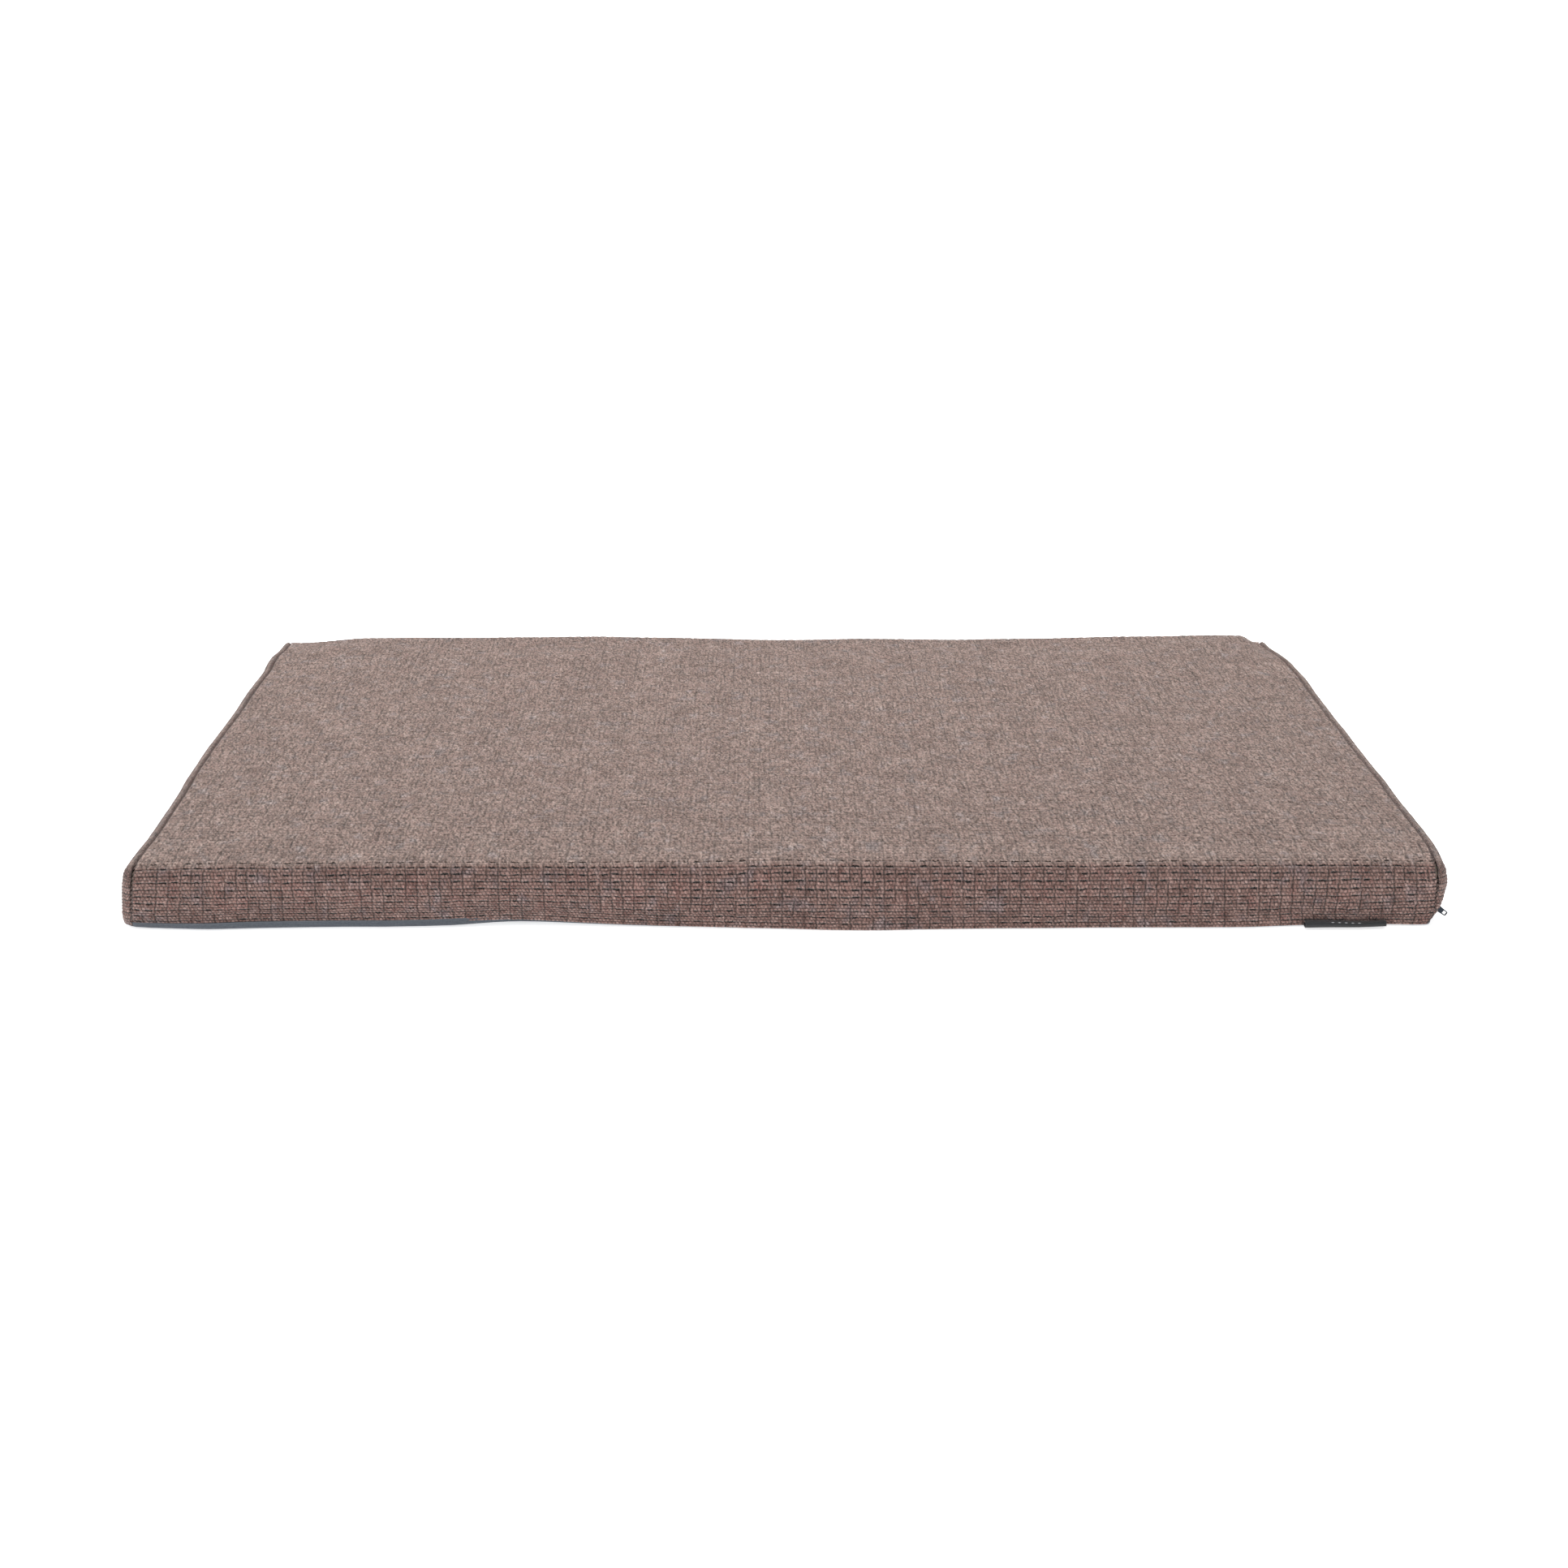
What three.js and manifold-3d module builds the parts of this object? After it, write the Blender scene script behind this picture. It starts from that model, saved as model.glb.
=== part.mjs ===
// Pet cushion bed: a thin rectangular foam mat in a zipped, removable cover.
// Units are millimetres. +X runs along the long side to the right, +Y to the back, +Z up.
// The origin is the middle of the underside, on the floor.
import * as THREE from "three";
import { mergeVertices } from "three/addons/utils/BufferGeometryUtils.js";
import Module from "manifold-3d";

// ---- driving dimensions ----
const LENGTH = 1000; // X, the long side
const DEPTH = 630; // Y, the short side
const HEIGHT = 50; // Z, floor to lying surface
const CLOTH = 2.4; // thickness of the chenille cover cloth
const GAP = 0.3; // running gap between pieces that touch
const PLAN_R = 14; // corner radius seen from above
const FOLD_R = 10; // radius of the fold round the top edges

const BASE_T = 2.0; // anti-slip base cloth
const BASE_INSET = 1.0; // the base cloth sits this far in from the cover's outline
const COVER_Z = 3.3; // lower edge of the cover cloth, above the base seam

const SEAM_IN = 9.5; // the side seams lie this far in from each end of the mat
const SEAM_W = 0.6; // width of a sewn thread line

// zip along the lower right edge, in a plane that faces outward and down
const ZIP_TILT = 36; // degrees below horizontal
const ZIP_X = 489.6; // centre of the chain
const ZIP_Z = 13.6;
const ZIP_OUT = 3.0; // the cover cloth's outer face, above the chain's mid plane
const ZIP_OPEN_HALF = 6.0; // from the chain's centre to each cloth lip
const ZIP_END = 306.5; // half length of the opening
const TAPE_T = 0.6;
const TAPE_IN = 2.4;
const TAPE_OUT = 12.5;
const TAPE_END = 304;
const COIL_IN = 0.6;
const COIL_OUT = 2.1;
const COIL_HALF_T = 0.95;
const COIL_FRONT = -303.9;
const COIL_BACK = 300;

const SLIDER_Y = -299.5; // closed position
const SLIDER_HALF = 4.0;
const PLATE_LOW = 1.25;
const PLATE_TOP = 2.05;
const CROWN_TOP = 4.2;
const PIVOT_V = 2.75; // pull pivot above the chain's mid plane

const PULL_LEN = 15.5; // pivot to tip
const PULL_T = 0.8;
const PULL_ROOT_HALF = 2.6;
const PULL_TIP_HALF = 1.8;

const LABEL_X0 = 391.5; // loop label sewn into the front base seam
const LABEL_X1 = 453;
const LABEL_DEPTH = 7.6;
const LABEL_H = 5.6;
const LABEL_T = 0.6;

const HALF_X = LENGTH / 2;
const HALF_Y = DEPTH / 2;
const TILT = THREE.MathUtils.degToRad(ZIP_TILT);

// ---- solids: joins and cuts ----
const wasm = await Module();
wasm.setup();

function solid(geometry) {
  const bare = geometry.clone();
  bare.deleteAttribute("normal");
  bare.deleteAttribute("uv");
  const merged = mergeVertices(bare, 1e-4);
  return new wasm.Manifold(
    new wasm.Mesh({
      numProp: 3,
      vertProperties: new Float32Array(merged.attributes.position.array),
      triVerts: new Uint32Array(merged.index.array),
    }),
  );
}

function geometryOf(manifold) {
  const m = manifold.getMesh();
  const g = new THREE.BufferGeometry();
  const v = new Float32Array(m.numVert * 3);
  for (let i = 0; i < m.numVert; i++)
    for (let k = 0; k < 3; k++)
      v[i * 3 + k] = m.vertProperties[i * m.numProp + k];
  g.setAttribute("position", new THREE.BufferAttribute(v, 3));
  g.setIndex(new THREE.BufferAttribute(new Uint32Array(m.triVerts), 1));
  g.computeVertexNormals();
  return g;
}

const box = (x0, x1, y0, y1, z0, z1) =>
  solid(
    new THREE.BoxGeometry(x1 - x0, y1 - y0, z1 - z0).translate(
      (x0 + x1) / 2,
      (y0 + y1) / 2,
      (z0 + z1) / 2,
    ),
  );

// An outline in X and Z, carried along Y.
function prismY(points, y0, y1) {
  const shape = new THREE.Shape(points.map(([x, z]) => new THREE.Vector2(x, z)));
  return new THREE.ExtrudeGeometry(shape, {
    depth: y1 - y0,
    bevelEnabled: false,
    steps: 1,
  })
    .rotateX(Math.PI / 2)
    .translate(0, y1, 0);
}

// An outline in Y and Z, carried along X.
function prismX(points, x0, x1) {
  const shape = new THREE.Shape(points.map(([y, z]) => new THREE.Vector2(y, z)));
  return new THREE.ExtrudeGeometry(shape, {
    depth: x1 - x0,
    bevelEnabled: false,
    steps: 1,
  })
    .rotateX(Math.PI / 2)
    .rotateZ(Math.PI / 2)
    .translate(x0, 0, 0);
}

// The mat's outline from above, drawn in by `inset`.
function plan(inset, radius) {
  const x = HALF_X - inset;
  const y = HALF_Y - inset;
  const r = Math.max(radius, 0.5);
  const s = new THREE.Shape();
  s.moveTo(-x + r, -y);
  s.lineTo(x - r, -y);
  s.absarc(x - r, -y + r, r, -Math.PI / 2, 0, false);
  s.lineTo(x, y - r);
  s.absarc(x - r, y - r, r, 0, Math.PI / 2, false);
  s.lineTo(-x + r, y);
  s.absarc(-x + r, y - r, r, Math.PI / 2, Math.PI, false);
  s.lineTo(-x, -y + r);
  s.absarc(-x + r, -y + r, r, Math.PI, 1.5 * Math.PI, false);
  s.closePath();
  return s;
}

// A point on the zip's plane: u up the slope from the chain's centre, v outward.
const zipPoint = (u, v) => [
  ZIP_X + v * Math.cos(TILT) + u * Math.sin(TILT),
  ZIP_Z - v * Math.sin(TILT) + u * Math.cos(TILT),
];

// Everything outside the sloping lower right edge, as a cutter.
function slopeCutter(v) {
  const a = zipPoint(-80, v);
  const b = zipPoint(80, v);
  return solid(prismY([a, [a[0] + 160, a[1]], [b[0] + 160, b[1]], b], -400, 400));
}

// A pillow block: rounded outline, rounded top edges, flat bottom, sloping lower right edge.
function block(inset, bottom, slopeV) {
  const fold = Math.max(FOLD_R - inset, 2);
  const deep = 30;
  const g = new THREE.ExtrudeGeometry(plan(inset, PLAN_R - inset), {
    depth: HEIGHT - inset + deep - 2 * fold,
    curveSegments: 6,
    steps: 1,
    bevelEnabled: true,
    bevelThickness: fold,
    bevelSize: fold,
    bevelOffset: -fold,
    bevelSegments: 5,
  }).translate(0, 0, -deep + fold);
  return solid(g)
    .subtract(box(-600, 600, -400, 400, -60, bottom))
    .subtract(slopeCutter(slopeV));
}

// ---- materials ----
const cloth = (color, roughness) =>
  new THREE.MeshStandardMaterial({ color, roughness, metalness: 0 });
const CHENILLE = 0x8b7a72;
const SLATE = 0x464c54;

function piece(name, geometry, material) {
  const mesh = new THREE.Mesh(geometry, material);
  mesh.name = name;
  return mesh;
}

const mat = new THREE.Group();

// ---- cover cloth ----
// the opening that the zip closes
const zipOpening = solid(
  prismY(
    [
      zipPoint(ZIP_OPEN_HALF, -6),
      zipPoint(ZIP_OPEN_HALF, 20),
      zipPoint(-40, 20),
      zipPoint(-40, -6),
    ],
    -ZIP_END,
    ZIP_END,
  ),
);
const shell = block(0, COVER_Z, ZIP_OUT)
  .subtract(block(CLOTH, -5, ZIP_OUT - CLOTH))
  .subtract(zipOpening);
const seamX = HALF_X - SEAM_IN;
const reach = SEAM_W / 2 + GAP;
const topWrap = shell.intersect(
  box(-seamX + reach, seamX - reach, -400, 400, 0, 100),
);
const leftPanel = shell.intersect(box(-600, -seamX - reach, -400, 400, 0, 100));

const rightPanel = shell.intersect(box(seamX + reach, 600, -400, 400, 0, 100));

const seamLeft = shell.intersect(
  box(-seamX - SEAM_W / 2, -seamX + SEAM_W / 2, -400, 400, 0, 100),
);
const seamRight = shell.intersect(
  box(seamX - SEAM_W / 2, seamX + SEAM_W / 2, -400, 400, 0, 100),
);

const cover = new THREE.Group();
cover.add(
  piece("cover_top_wrap", geometryOf(topWrap), cloth(CHENILLE, 0.95)),
  piece("side_panel_left", geometryOf(leftPanel), cloth(CHENILLE, 0.95)),
  piece("side_panel_right", geometryOf(rightPanel), cloth(CHENILLE, 0.95)),
  piece("side_seam_thread_left", geometryOf(seamLeft), cloth(0x4a3d39, 0.8)),
  piece("side_seam_thread_right", geometryOf(seamRight), cloth(0x4a3d39, 0.8)),
);

// ---- base cloth: a flat sheet with a lip turned up the slope to the zip ----
const baseFlat = solid(
  new THREE.ExtrudeGeometry(plan(BASE_INSET, PLAN_R - BASE_INSET), {
    depth: BASE_T,
    curveSegments: 6,
    bevelEnabled: false,
  }),
).subtract(slopeCutter(2.6));
const lipOut = 2.6;
const lipIn = 1.0;
const onHeight = (v, z) => {
  const u = (z - ZIP_Z + v * Math.sin(TILT)) / Math.cos(TILT);
  return zipPoint(u, v);
};
const baseLip = solid(
  prismY(
    [
      [478, 0],
      onHeight(lipOut, 0),
      zipPoint(-ZIP_OPEN_HALF, lipOut),
      zipPoint(-ZIP_OPEN_HALF, lipIn),
      onHeight(lipIn, BASE_T),
      [478, BASE_T],
    ],
    -ZIP_END + 3,
    ZIP_END - 3,
  ),
);
cover.add(
  piece("base_panel", geometryOf(baseFlat.add(baseLip)), cloth(SLATE, 0.7)),
);

// the seam that joins the cover cloth to the base on the front, left and back
const seamRing = solid(
  new THREE.ExtrudeGeometry(plan(0.9, PLAN_R - 0.9), {
    depth: COVER_Z - BASE_T - 2 * GAP,
    curveSegments: 6,
    bevelEnabled: false,
  }).translate(0, 0, BASE_T + GAP),
)
  .subtract(
    solid(
      new THREE.ExtrudeGeometry(plan(2.2, PLAN_R - 2.2), {
        depth: 10,
        curveSegments: 6,
        bevelEnabled: false,
      }).translate(0, 0, -2),
    ),
  )
  .subtract(box(480, 600, -400, 400, -10, 10));
cover.add(piece("base_seam_thread", geometryOf(seamRing), cloth(0x2f3338, 0.8)));
mat.add(cover);

// ---- foam core ----
const core = block(CLOTH + GAP, BASE_T + 1.0, -2.7).intersect(
  box(-HALF_X + 4.1, HALF_X - 4.1, -400, 400, 0, 100),
);
mat.add(piece("foam_core", geometryOf(core), cloth(0xd9d3c2, 0.9)));

// ---- labels ----
// Loop label: a folded ribbon whose two ends go into the front base seam.
{
  const y0 = -HALF_Y - GAP;
  const mid = 0.5 + LABEL_H / 2;
  const outer = [];
  const inner = [];
  const half = LABEL_H / 2;
  const n = 12;
  outer.push([y0, mid + 0.75]);
  inner.push([y0 - 1.2, mid + 0.12]);
  outer.push([y0 - 2.2, mid + half * 0.8]);
  inner.push([y0 - 2.6, mid + half * 0.8 - LABEL_T - 0.1]);
  for (let i = 0; i <= n; i++) {
    const a = Math.PI / 2 + (Math.PI * i) / n;
    const cy = y0 - LABEL_DEPTH + half;
    outer.push([cy + half * Math.cos(a), mid + half * Math.sin(a)]);
    inner.push([
      cy + (half - LABEL_T) * Math.cos(a),
      mid + (half - LABEL_T) * Math.sin(a),
    ]);
  }
  outer.push([y0 - 2.2, mid - half * 0.8]);
  inner.push([y0 - 2.6, mid - half * 0.8 + LABEL_T + 0.1]);
  outer.push([y0, mid - 0.75]);
  inner.push([y0 - 1.2, mid - 0.12]);
  const label = solid(prismX(outer, LABEL_X0, LABEL_X1)).subtract(
    solid(prismX(inner, LABEL_X0 - 5, LABEL_X1 + 5)),
  );
  mat.add(piece("loop_label", geometryOf(label), cloth(0x24272b, 0.55)));
}
// Care label: a satin tab caught in the zip seam, lying inside on the base cloth.
mat.add(
  piece(
    "care_label",
    new THREE.BoxGeometry(36, 55, 0.4).translate(
      456,
      -242,
      BASE_T + GAP + 0.2,
    ),
    cloth(0xe9e7e2, 0.5),
  ),
);

// ---- zip, in its own frame: +X down the slope, +Y along the chain, +Z outward ----
const zip = new THREE.Group();
zip.position.set(ZIP_X, 0, ZIP_Z);
zip.rotation.y = Math.PI / 2 + TILT;

const bar = (x0, x1, y0, y1, z0, z1) =>
  new THREE.BoxGeometry(x1 - x0, y1 - y0, z1 - z0).translate(
    (x0 + x1) / 2,
    (y0 + y1) / 2,
    (z0 + z1) / 2,
  );
const tape = cloth(0x3d4249, 0.85);
const nylon = cloth(0x33373d, 0.45);
const thread = cloth(0x4a4f57, 0.8);
const metal = () =>
  new THREE.MeshStandardMaterial({
    color: 0x2f353d,
    roughness: 0.42,
    metalness: 0.55,
  });

zip.add(
  piece(
    "zip_tape_upper",
    bar(-TAPE_OUT, -TAPE_IN, -TAPE_END, TAPE_END, -TAPE_T / 2, TAPE_T / 2),
    tape,
  ),
  piece(
    "zip_tape_lower",
    bar(TAPE_IN, TAPE_OUT, -TAPE_END, TAPE_END, -TAPE_T / 2, TAPE_T / 2),
    tape.clone(),
  ),
);
// each coil: a flattened bar with rounded sides
const coilOutline = (side) => {
  const a = COIL_IN;
  const b = COIL_OUT;
  const h = COIL_HALF_T;
  const c = 0.35;
  const p = [
    [a, -h + c],
    [a + c, -h],
    [b - c, -h],
    [b, -h + c],
    [b, h - c],
    [b - c, h],
    [a + c, h],
    [a, h - c],
  ];
  return side > 0 ? p : p.map(([x, z]) => [-x, z]).reverse();
};
zip.add(
  piece(
    "zip_coil_upper",
    prismY(coilOutline(-1), COIL_FRONT, COIL_BACK),
    nylon,
  ),
  piece(
    "zip_coil_lower",
    prismY(coilOutline(1), COIL_FRONT, COIL_BACK),
    nylon.clone(),
  ),
  piece(
    "zip_top_stop_upper",
    bar(-2.25, -0.5, COIL_FRONT - 2.0, COIL_FRONT - GAP, -1.15, 1.15),
    metal(),
  ),
  piece(
    "zip_top_stop_lower",
    bar(0.5, 2.25, COIL_FRONT - 2.0, COIL_FRONT - GAP, -1.15, 1.15),
    metal(),
  ),
  piece(
    "zip_bottom_stop",
    bar(-2.25, 2.25, COIL_BACK + GAP, COIL_BACK + 2.5, -1.15, 1.15),
    metal(),
  ),
  piece(
    "zip_stitch_upper",
    bar(-8.2, -7.6, -TAPE_END + 1, TAPE_END - 1, ZIP_OUT + GAP, ZIP_OUT + 0.7),
    thread,
  ),
  piece(
    "zip_stitch_lower",
    bar(7.6, 8.2, -TAPE_END + 1, TAPE_END - 1, lipOut + GAP, lipOut + 0.7),
    thread.clone(),
  ),
);

// slider: two plates with side flanges round the chain, a post between the coils, and a crown
{
  const wide = 3.25;
  const slim = 2.9;
  const outline = new THREE.Shape();
  outline.moveTo(-1.0, -SLIDER_HALF + 0.9);
  outline.lineTo(0, -SLIDER_HALF + 0.2);
  outline.lineTo(1.0, -SLIDER_HALF + 0.9);
  outline.lineTo(wide - 0.8, -SLIDER_HALF);
  outline.lineTo(wide, -SLIDER_HALF + 0.9);
  outline.lineTo(wide, -0.8);
  outline.lineTo(slim, 1.4);
  outline.lineTo(slim, SLIDER_HALF - 0.7);
  outline.lineTo(slim - 0.7, SLIDER_HALF);
  outline.lineTo(-slim + 0.7, SLIDER_HALF);
  outline.lineTo(-slim, SLIDER_HALF - 0.7);
  outline.lineTo(-slim, 1.4);
  outline.lineTo(-wide, -0.8);
  outline.lineTo(-wide, -SLIDER_HALF + 0.9);
  outline.lineTo(-wide + 0.8, -SLIDER_HALF);
  outline.closePath();
  const slab = (z0, z1) =>
    solid(
      new THREE.ExtrudeGeometry(outline, {
        depth: z1 - z0,
        bevelEnabled: false,
      }).translate(0, 0, z0),
    );
  const inside = TAPE_IN;
  const channel = box(-inside, inside, -10, 10, -PLATE_LOW, PLATE_LOW);
  const slit = box(-10, 10, -10, 10, -TAPE_T / 2 - GAP, TAPE_T / 2 + GAP);
  const post = box(-0.3, 0.3, -3.3, -1.2, -PLATE_LOW - 0.1, PLATE_LOW + 0.1);
  const crown = solid(
    prismX(
      [
        [-3.0, PLATE_TOP - 0.1],
        [-2.1, PLATE_TOP - 0.1],
        [-2.1, 3.15],
        [-1.8, 3.45],
        [1.8, 3.45],
        [2.1, 3.15],
        [2.1, PLATE_TOP - 0.1],
        [3.0, PLATE_TOP - 0.1],
        [3.0, 3.4],
        [2.2, CROWN_TOP],
        [-2.2, CROWN_TOP],
        [-3.0, 3.4],
      ],
      -0.8,
      0.8,
    ),
  );
  const slider = slab(-PLATE_TOP, PLATE_TOP)
    .subtract(channel)
    .subtract(slit)
    .add(post)
    .add(crown);
  const mesh = piece("zip_slider", geometryOf(slider), metal());
  mesh.position.y = SLIDER_Y;
  zip.add(mesh);
}

// pull: a flat tab with a hanging loop at its root and a small window near its tip
{
  const r = PULL_ROOT_HALF;
  const t = PULL_TIP_HALF;
  const s = new THREE.Shape();
  s.moveTo(-r + 0.3, -0.35);
  s.lineTo(r - 0.3, -0.35);
  s.lineTo(r, 0.1);
  s.lineTo(r, 4.2);
  s.lineTo(t, PULL_LEN - 0.6);
  s.lineTo(t - 0.6, PULL_LEN);
  s.lineTo(-t + 0.6, PULL_LEN);
  s.lineTo(-t, PULL_LEN - 0.6);
  s.lineTo(-r, 4.2);
  s.lineTo(-r, 0.1);
  s.closePath();
  const hole = (x, y0, y1) => {
    const h = new THREE.Path();
    h.moveTo(-x, y0);
    h.lineTo(-x, y1);
    h.lineTo(x, y1);
    h.lineTo(x, y0);
    h.closePath();
    return h;
  };
  s.holes.push(hole(1.2, 0.35, 3.6));
  s.holes.push(hole(1.15, PULL_LEN - 3.7, PULL_LEN - 0.9));
  const g = new THREE.ExtrudeGeometry(s, {
    depth: PULL_T,
    bevelEnabled: false,
  })
    .translate(0, 0, -PULL_T / 2)
    .rotateX(Math.PI / 2);
  const mesh = piece("zip_pull", g, metal());
  mesh.position.set(0, SLIDER_Y, PIVOT_V);
  zip.add(mesh);
}
mat.add(zip);

export default mat;
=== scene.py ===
"""Pet cushion bed: the looks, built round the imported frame.

A foam block in a removable cover: a chenille wrap that runs front, top and back in one
piece, two chenille side panels, a slate base cloth, a coil zip along the lower right edge,
a loop label in the front seam and a care label inside.
Lengths are in millimetres in the frame's own axes until a mesh is made.
"""

import math

import bmesh
import bpy
import numpy as np
from mathutils import Matrix, Vector, kdtree


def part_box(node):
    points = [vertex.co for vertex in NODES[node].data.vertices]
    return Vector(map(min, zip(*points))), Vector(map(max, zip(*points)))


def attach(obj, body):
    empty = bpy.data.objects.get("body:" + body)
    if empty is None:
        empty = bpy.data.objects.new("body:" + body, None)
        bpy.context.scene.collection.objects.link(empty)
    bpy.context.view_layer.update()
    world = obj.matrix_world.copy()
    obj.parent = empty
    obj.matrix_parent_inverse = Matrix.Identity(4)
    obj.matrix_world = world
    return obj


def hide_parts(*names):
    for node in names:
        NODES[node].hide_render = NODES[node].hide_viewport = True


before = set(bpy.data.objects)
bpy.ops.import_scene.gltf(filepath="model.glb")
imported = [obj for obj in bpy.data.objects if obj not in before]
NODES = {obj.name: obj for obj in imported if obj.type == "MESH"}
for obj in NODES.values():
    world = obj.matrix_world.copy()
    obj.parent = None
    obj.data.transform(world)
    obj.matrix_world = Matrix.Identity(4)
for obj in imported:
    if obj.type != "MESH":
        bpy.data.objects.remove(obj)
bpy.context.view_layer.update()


# ---------------------------------------------------------------- camera
scene = bpy.context.scene
scene.view_settings.view_transform = "Standard"
scene.view_settings.look = "None"


def make_camera():
    data = bpy.data.cameras.new("photo_view")
    data.lens = 52.68
    data.sensor_width = 36.0
    data.clip_end = 60.0
    ob = bpy.data.objects.new("photo_view", data)
    scene.collection.objects.link(ob)
    pitch, yaw, roll = (math.radians(a) for a in (19.53, 0.38, -0.05))
    f = Vector(
        (
            math.sin(yaw) * math.cos(pitch),
            math.cos(yaw) * math.cos(pitch),
            -math.sin(pitch),
        )
    )
    right = Vector((math.cos(yaw), -math.sin(yaw), 0.0))
    up = right.cross(f)
    r = math.cos(roll) * right + math.sin(roll) * up
    u = -math.sin(roll) * right + math.cos(roll) * up
    m = Matrix((r, u, -f)).transposed().to_4x4()
    m.translation = Vector((-0.0117, -1.9131, 0.6823))
    ob.matrix_world = m
    scene.camera = ob
    return ob


make_camera()


# ---------------------------------------------------------------- the frame's sizes
def mm_box(name):
    lo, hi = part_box(name)
    return np.array(lo) * 1000.0, np.array(hi) * 1000.0


wrap_lo, wrap_hi = mm_box("cover_top_wrap")
left_lo, left_hi = mm_box("side_panel_left")
right_lo, right_hi = mm_box("side_panel_right")
seam_lo, seam_hi = mm_box("side_seam_thread_right")
label_lo, label_hi = mm_box("loop_label")
care_lo, care_hi = mm_box("care_label")
foam_lo, foam_hi = mm_box("foam_core")

HX = float(right_hi[0])  # half the length, 500
HY = float(wrap_hi[1])  # half the depth, 315
TOP = float(wrap_hi[2])  # 50
HEM = float(wrap_lo[2])  # lower edge of the chenille, 3.3
SEAM = float(seam_lo[0] + seam_hi[0]) / 2.0  # side seams, 490.5
RF = 10.0  # fold radius at the front and back edges
RS = HX - SEAM  # radius of the rolled side panels
COL, ROW = 8.55, 5.1  # the weave's column and row repeat
TILT = math.radians(36.0)
CT, ST = math.cos(TILT), math.sin(TILT)
ZX, ZZ = 489.6, 13.6  # the zip chain's centre


def zip_point(u, v):
    """u up the slope from the chain's centre, v outward. Returns x and z."""
    return ZX + v * CT + u * ST, ZZ - v * ST + u * CT


def slope_x(z, v):
    """x of the sloping lower right face at height z, v outward of the chain."""
    return ZX + (v + (z - ZZ) * ST) / CT


# ---------------------------------------------------------------- numbers
rng_table = np.random.default_rng(20261).random((64, 256, 256))


def vnoise(x, y, seed):
    """Smooth value noise, 0 to 1, one lattice step per unit."""
    t = rng_table[seed % 64]
    xi, yi = np.floor(x).astype(int), np.floor(y).astype(int)
    fx, fy = x - xi, y - yi
    fx, fy = fx * fx * (3 - 2 * fx), fy * fy * (3 - 2 * fy)
    a, b = xi & 255, yi & 255
    c, d = (xi + 1) & 255, (yi + 1) & 255
    return (t[a, b] * (1 - fx) + t[c, b] * fx) * (1 - fy) + (
        t[a, d] * (1 - fx) + t[c, d] * fx
    ) * fy


def fbm(x, y, seed, octaves=3):
    out, amp, total = 0.0, 1.0, 0.0
    for k in range(octaves):
        out = out + amp * (vnoise(x * 2**k, y * 2**k, seed + k) - 0.5)
        total += amp
        amp *= 0.5
    return out / total * 2.0


def smooth(lo, hi, x):
    t = np.clip((x - lo) / (hi - lo), 0.0, 1.0)
    return t * t * (3 - 2 * t)


def curve_through(points, x):
    """Smooth interpolation through (x, value) points."""
    p = np.array(points, float)
    xs, ys = p[:, 0], p[:, 1]
    m = np.gradient(ys, xs)
    x = np.clip(x, xs[0], xs[-1])
    i = np.clip(np.searchsorted(xs, x) - 1, 0, len(xs) - 2)
    h = xs[i + 1] - xs[i]
    t = (x - xs[i]) / h
    return (
        (2 * t**3 - 3 * t**2 + 1) * ys[i]
        + (t**3 - 2 * t**2 + t) * h * m[i]
        + (-2 * t**3 + 3 * t**2) * ys[i + 1]
        + (t**3 - t**2) * h * m[i + 1]
    )


def hermite(values, xs, x, axis):
    """Resamples values, known at xs along axis, at x."""
    values = np.moveaxis(values, axis, 0)
    m = np.gradient(values, xs, axis=0)
    i = np.clip(np.searchsorted(xs, x) - 1, 0, len(xs) - 2)
    h = xs[i + 1] - xs[i]
    t = (np.clip(x, xs[0], xs[-1]) - xs[i]) / h
    sh = (-1,) + (1,) * (values.ndim - 1)
    t, h = t.reshape(sh), h.reshape(sh)
    out = (
        (2 * t**3 - 3 * t**2 + 1) * values[i]
        + (t**3 - 2 * t**2 + t) * h * m[i]
        + (-2 * t**3 + 3 * t**2) * values[i + 1]
        + (t**3 - t**2) * h * m[i + 1]
    )
    return np.moveaxis(out, 0, axis)


# ---------------------------------------------------------------- mesh making
def make_mesh(name, co, quads=None, tris=None, smooth_shade=True):
    """co in millimetres, faces as index arrays. Returns an object in metres."""
    co = np.asarray(co, np.float64).reshape(-1, 3) * 0.001
    quads = np.zeros((0, 4), int) if quads is None else np.asarray(quads, int)
    tris = np.zeros((0, 3), int) if tris is None else np.asarray(tris, int)
    me = bpy.data.meshes.new(name)
    me.vertices.add(len(co))
    me.vertices.foreach_set("co", co.astype(np.float32).ravel())
    loops = np.concatenate([quads.ravel(), tris.ravel()]).astype(np.int32)
    sizes = np.concatenate([np.full(len(quads), 4), np.full(len(tris), 3)])
    starts = np.concatenate([[0], np.cumsum(sizes)[:-1]]).astype(np.int32)
    me.loops.add(len(loops))
    me.loops.foreach_set("vertex_index", loops)
    me.polygons.add(len(sizes))
    me.polygons.foreach_set("loop_start", starts)
    me.update(calc_edges=True)
    me.validate()
    if smooth_shade:
        me.shade_smooth()
    ob = bpy.data.objects.new(name, me)
    scene.collection.objects.link(ob)
    return ob


def grid_faces(ni, nj, start=0, wrap_j=False, flip=False):
    i = np.arange(ni - 1)
    j = np.arange(nj if wrap_j else nj - 1)
    I, J = np.meshgrid(i, j, indexing="ij")
    J2 = (J + 1) % nj
    a, b = I * nj + J, (I + 1) * nj + J
    c, d = (I + 1) * nj + J2, I * nj + J2
    f = np.stack([a, b, c, d], -1).reshape(-1, 4) + start
    return f[:, ::-1] if flip else f


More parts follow.
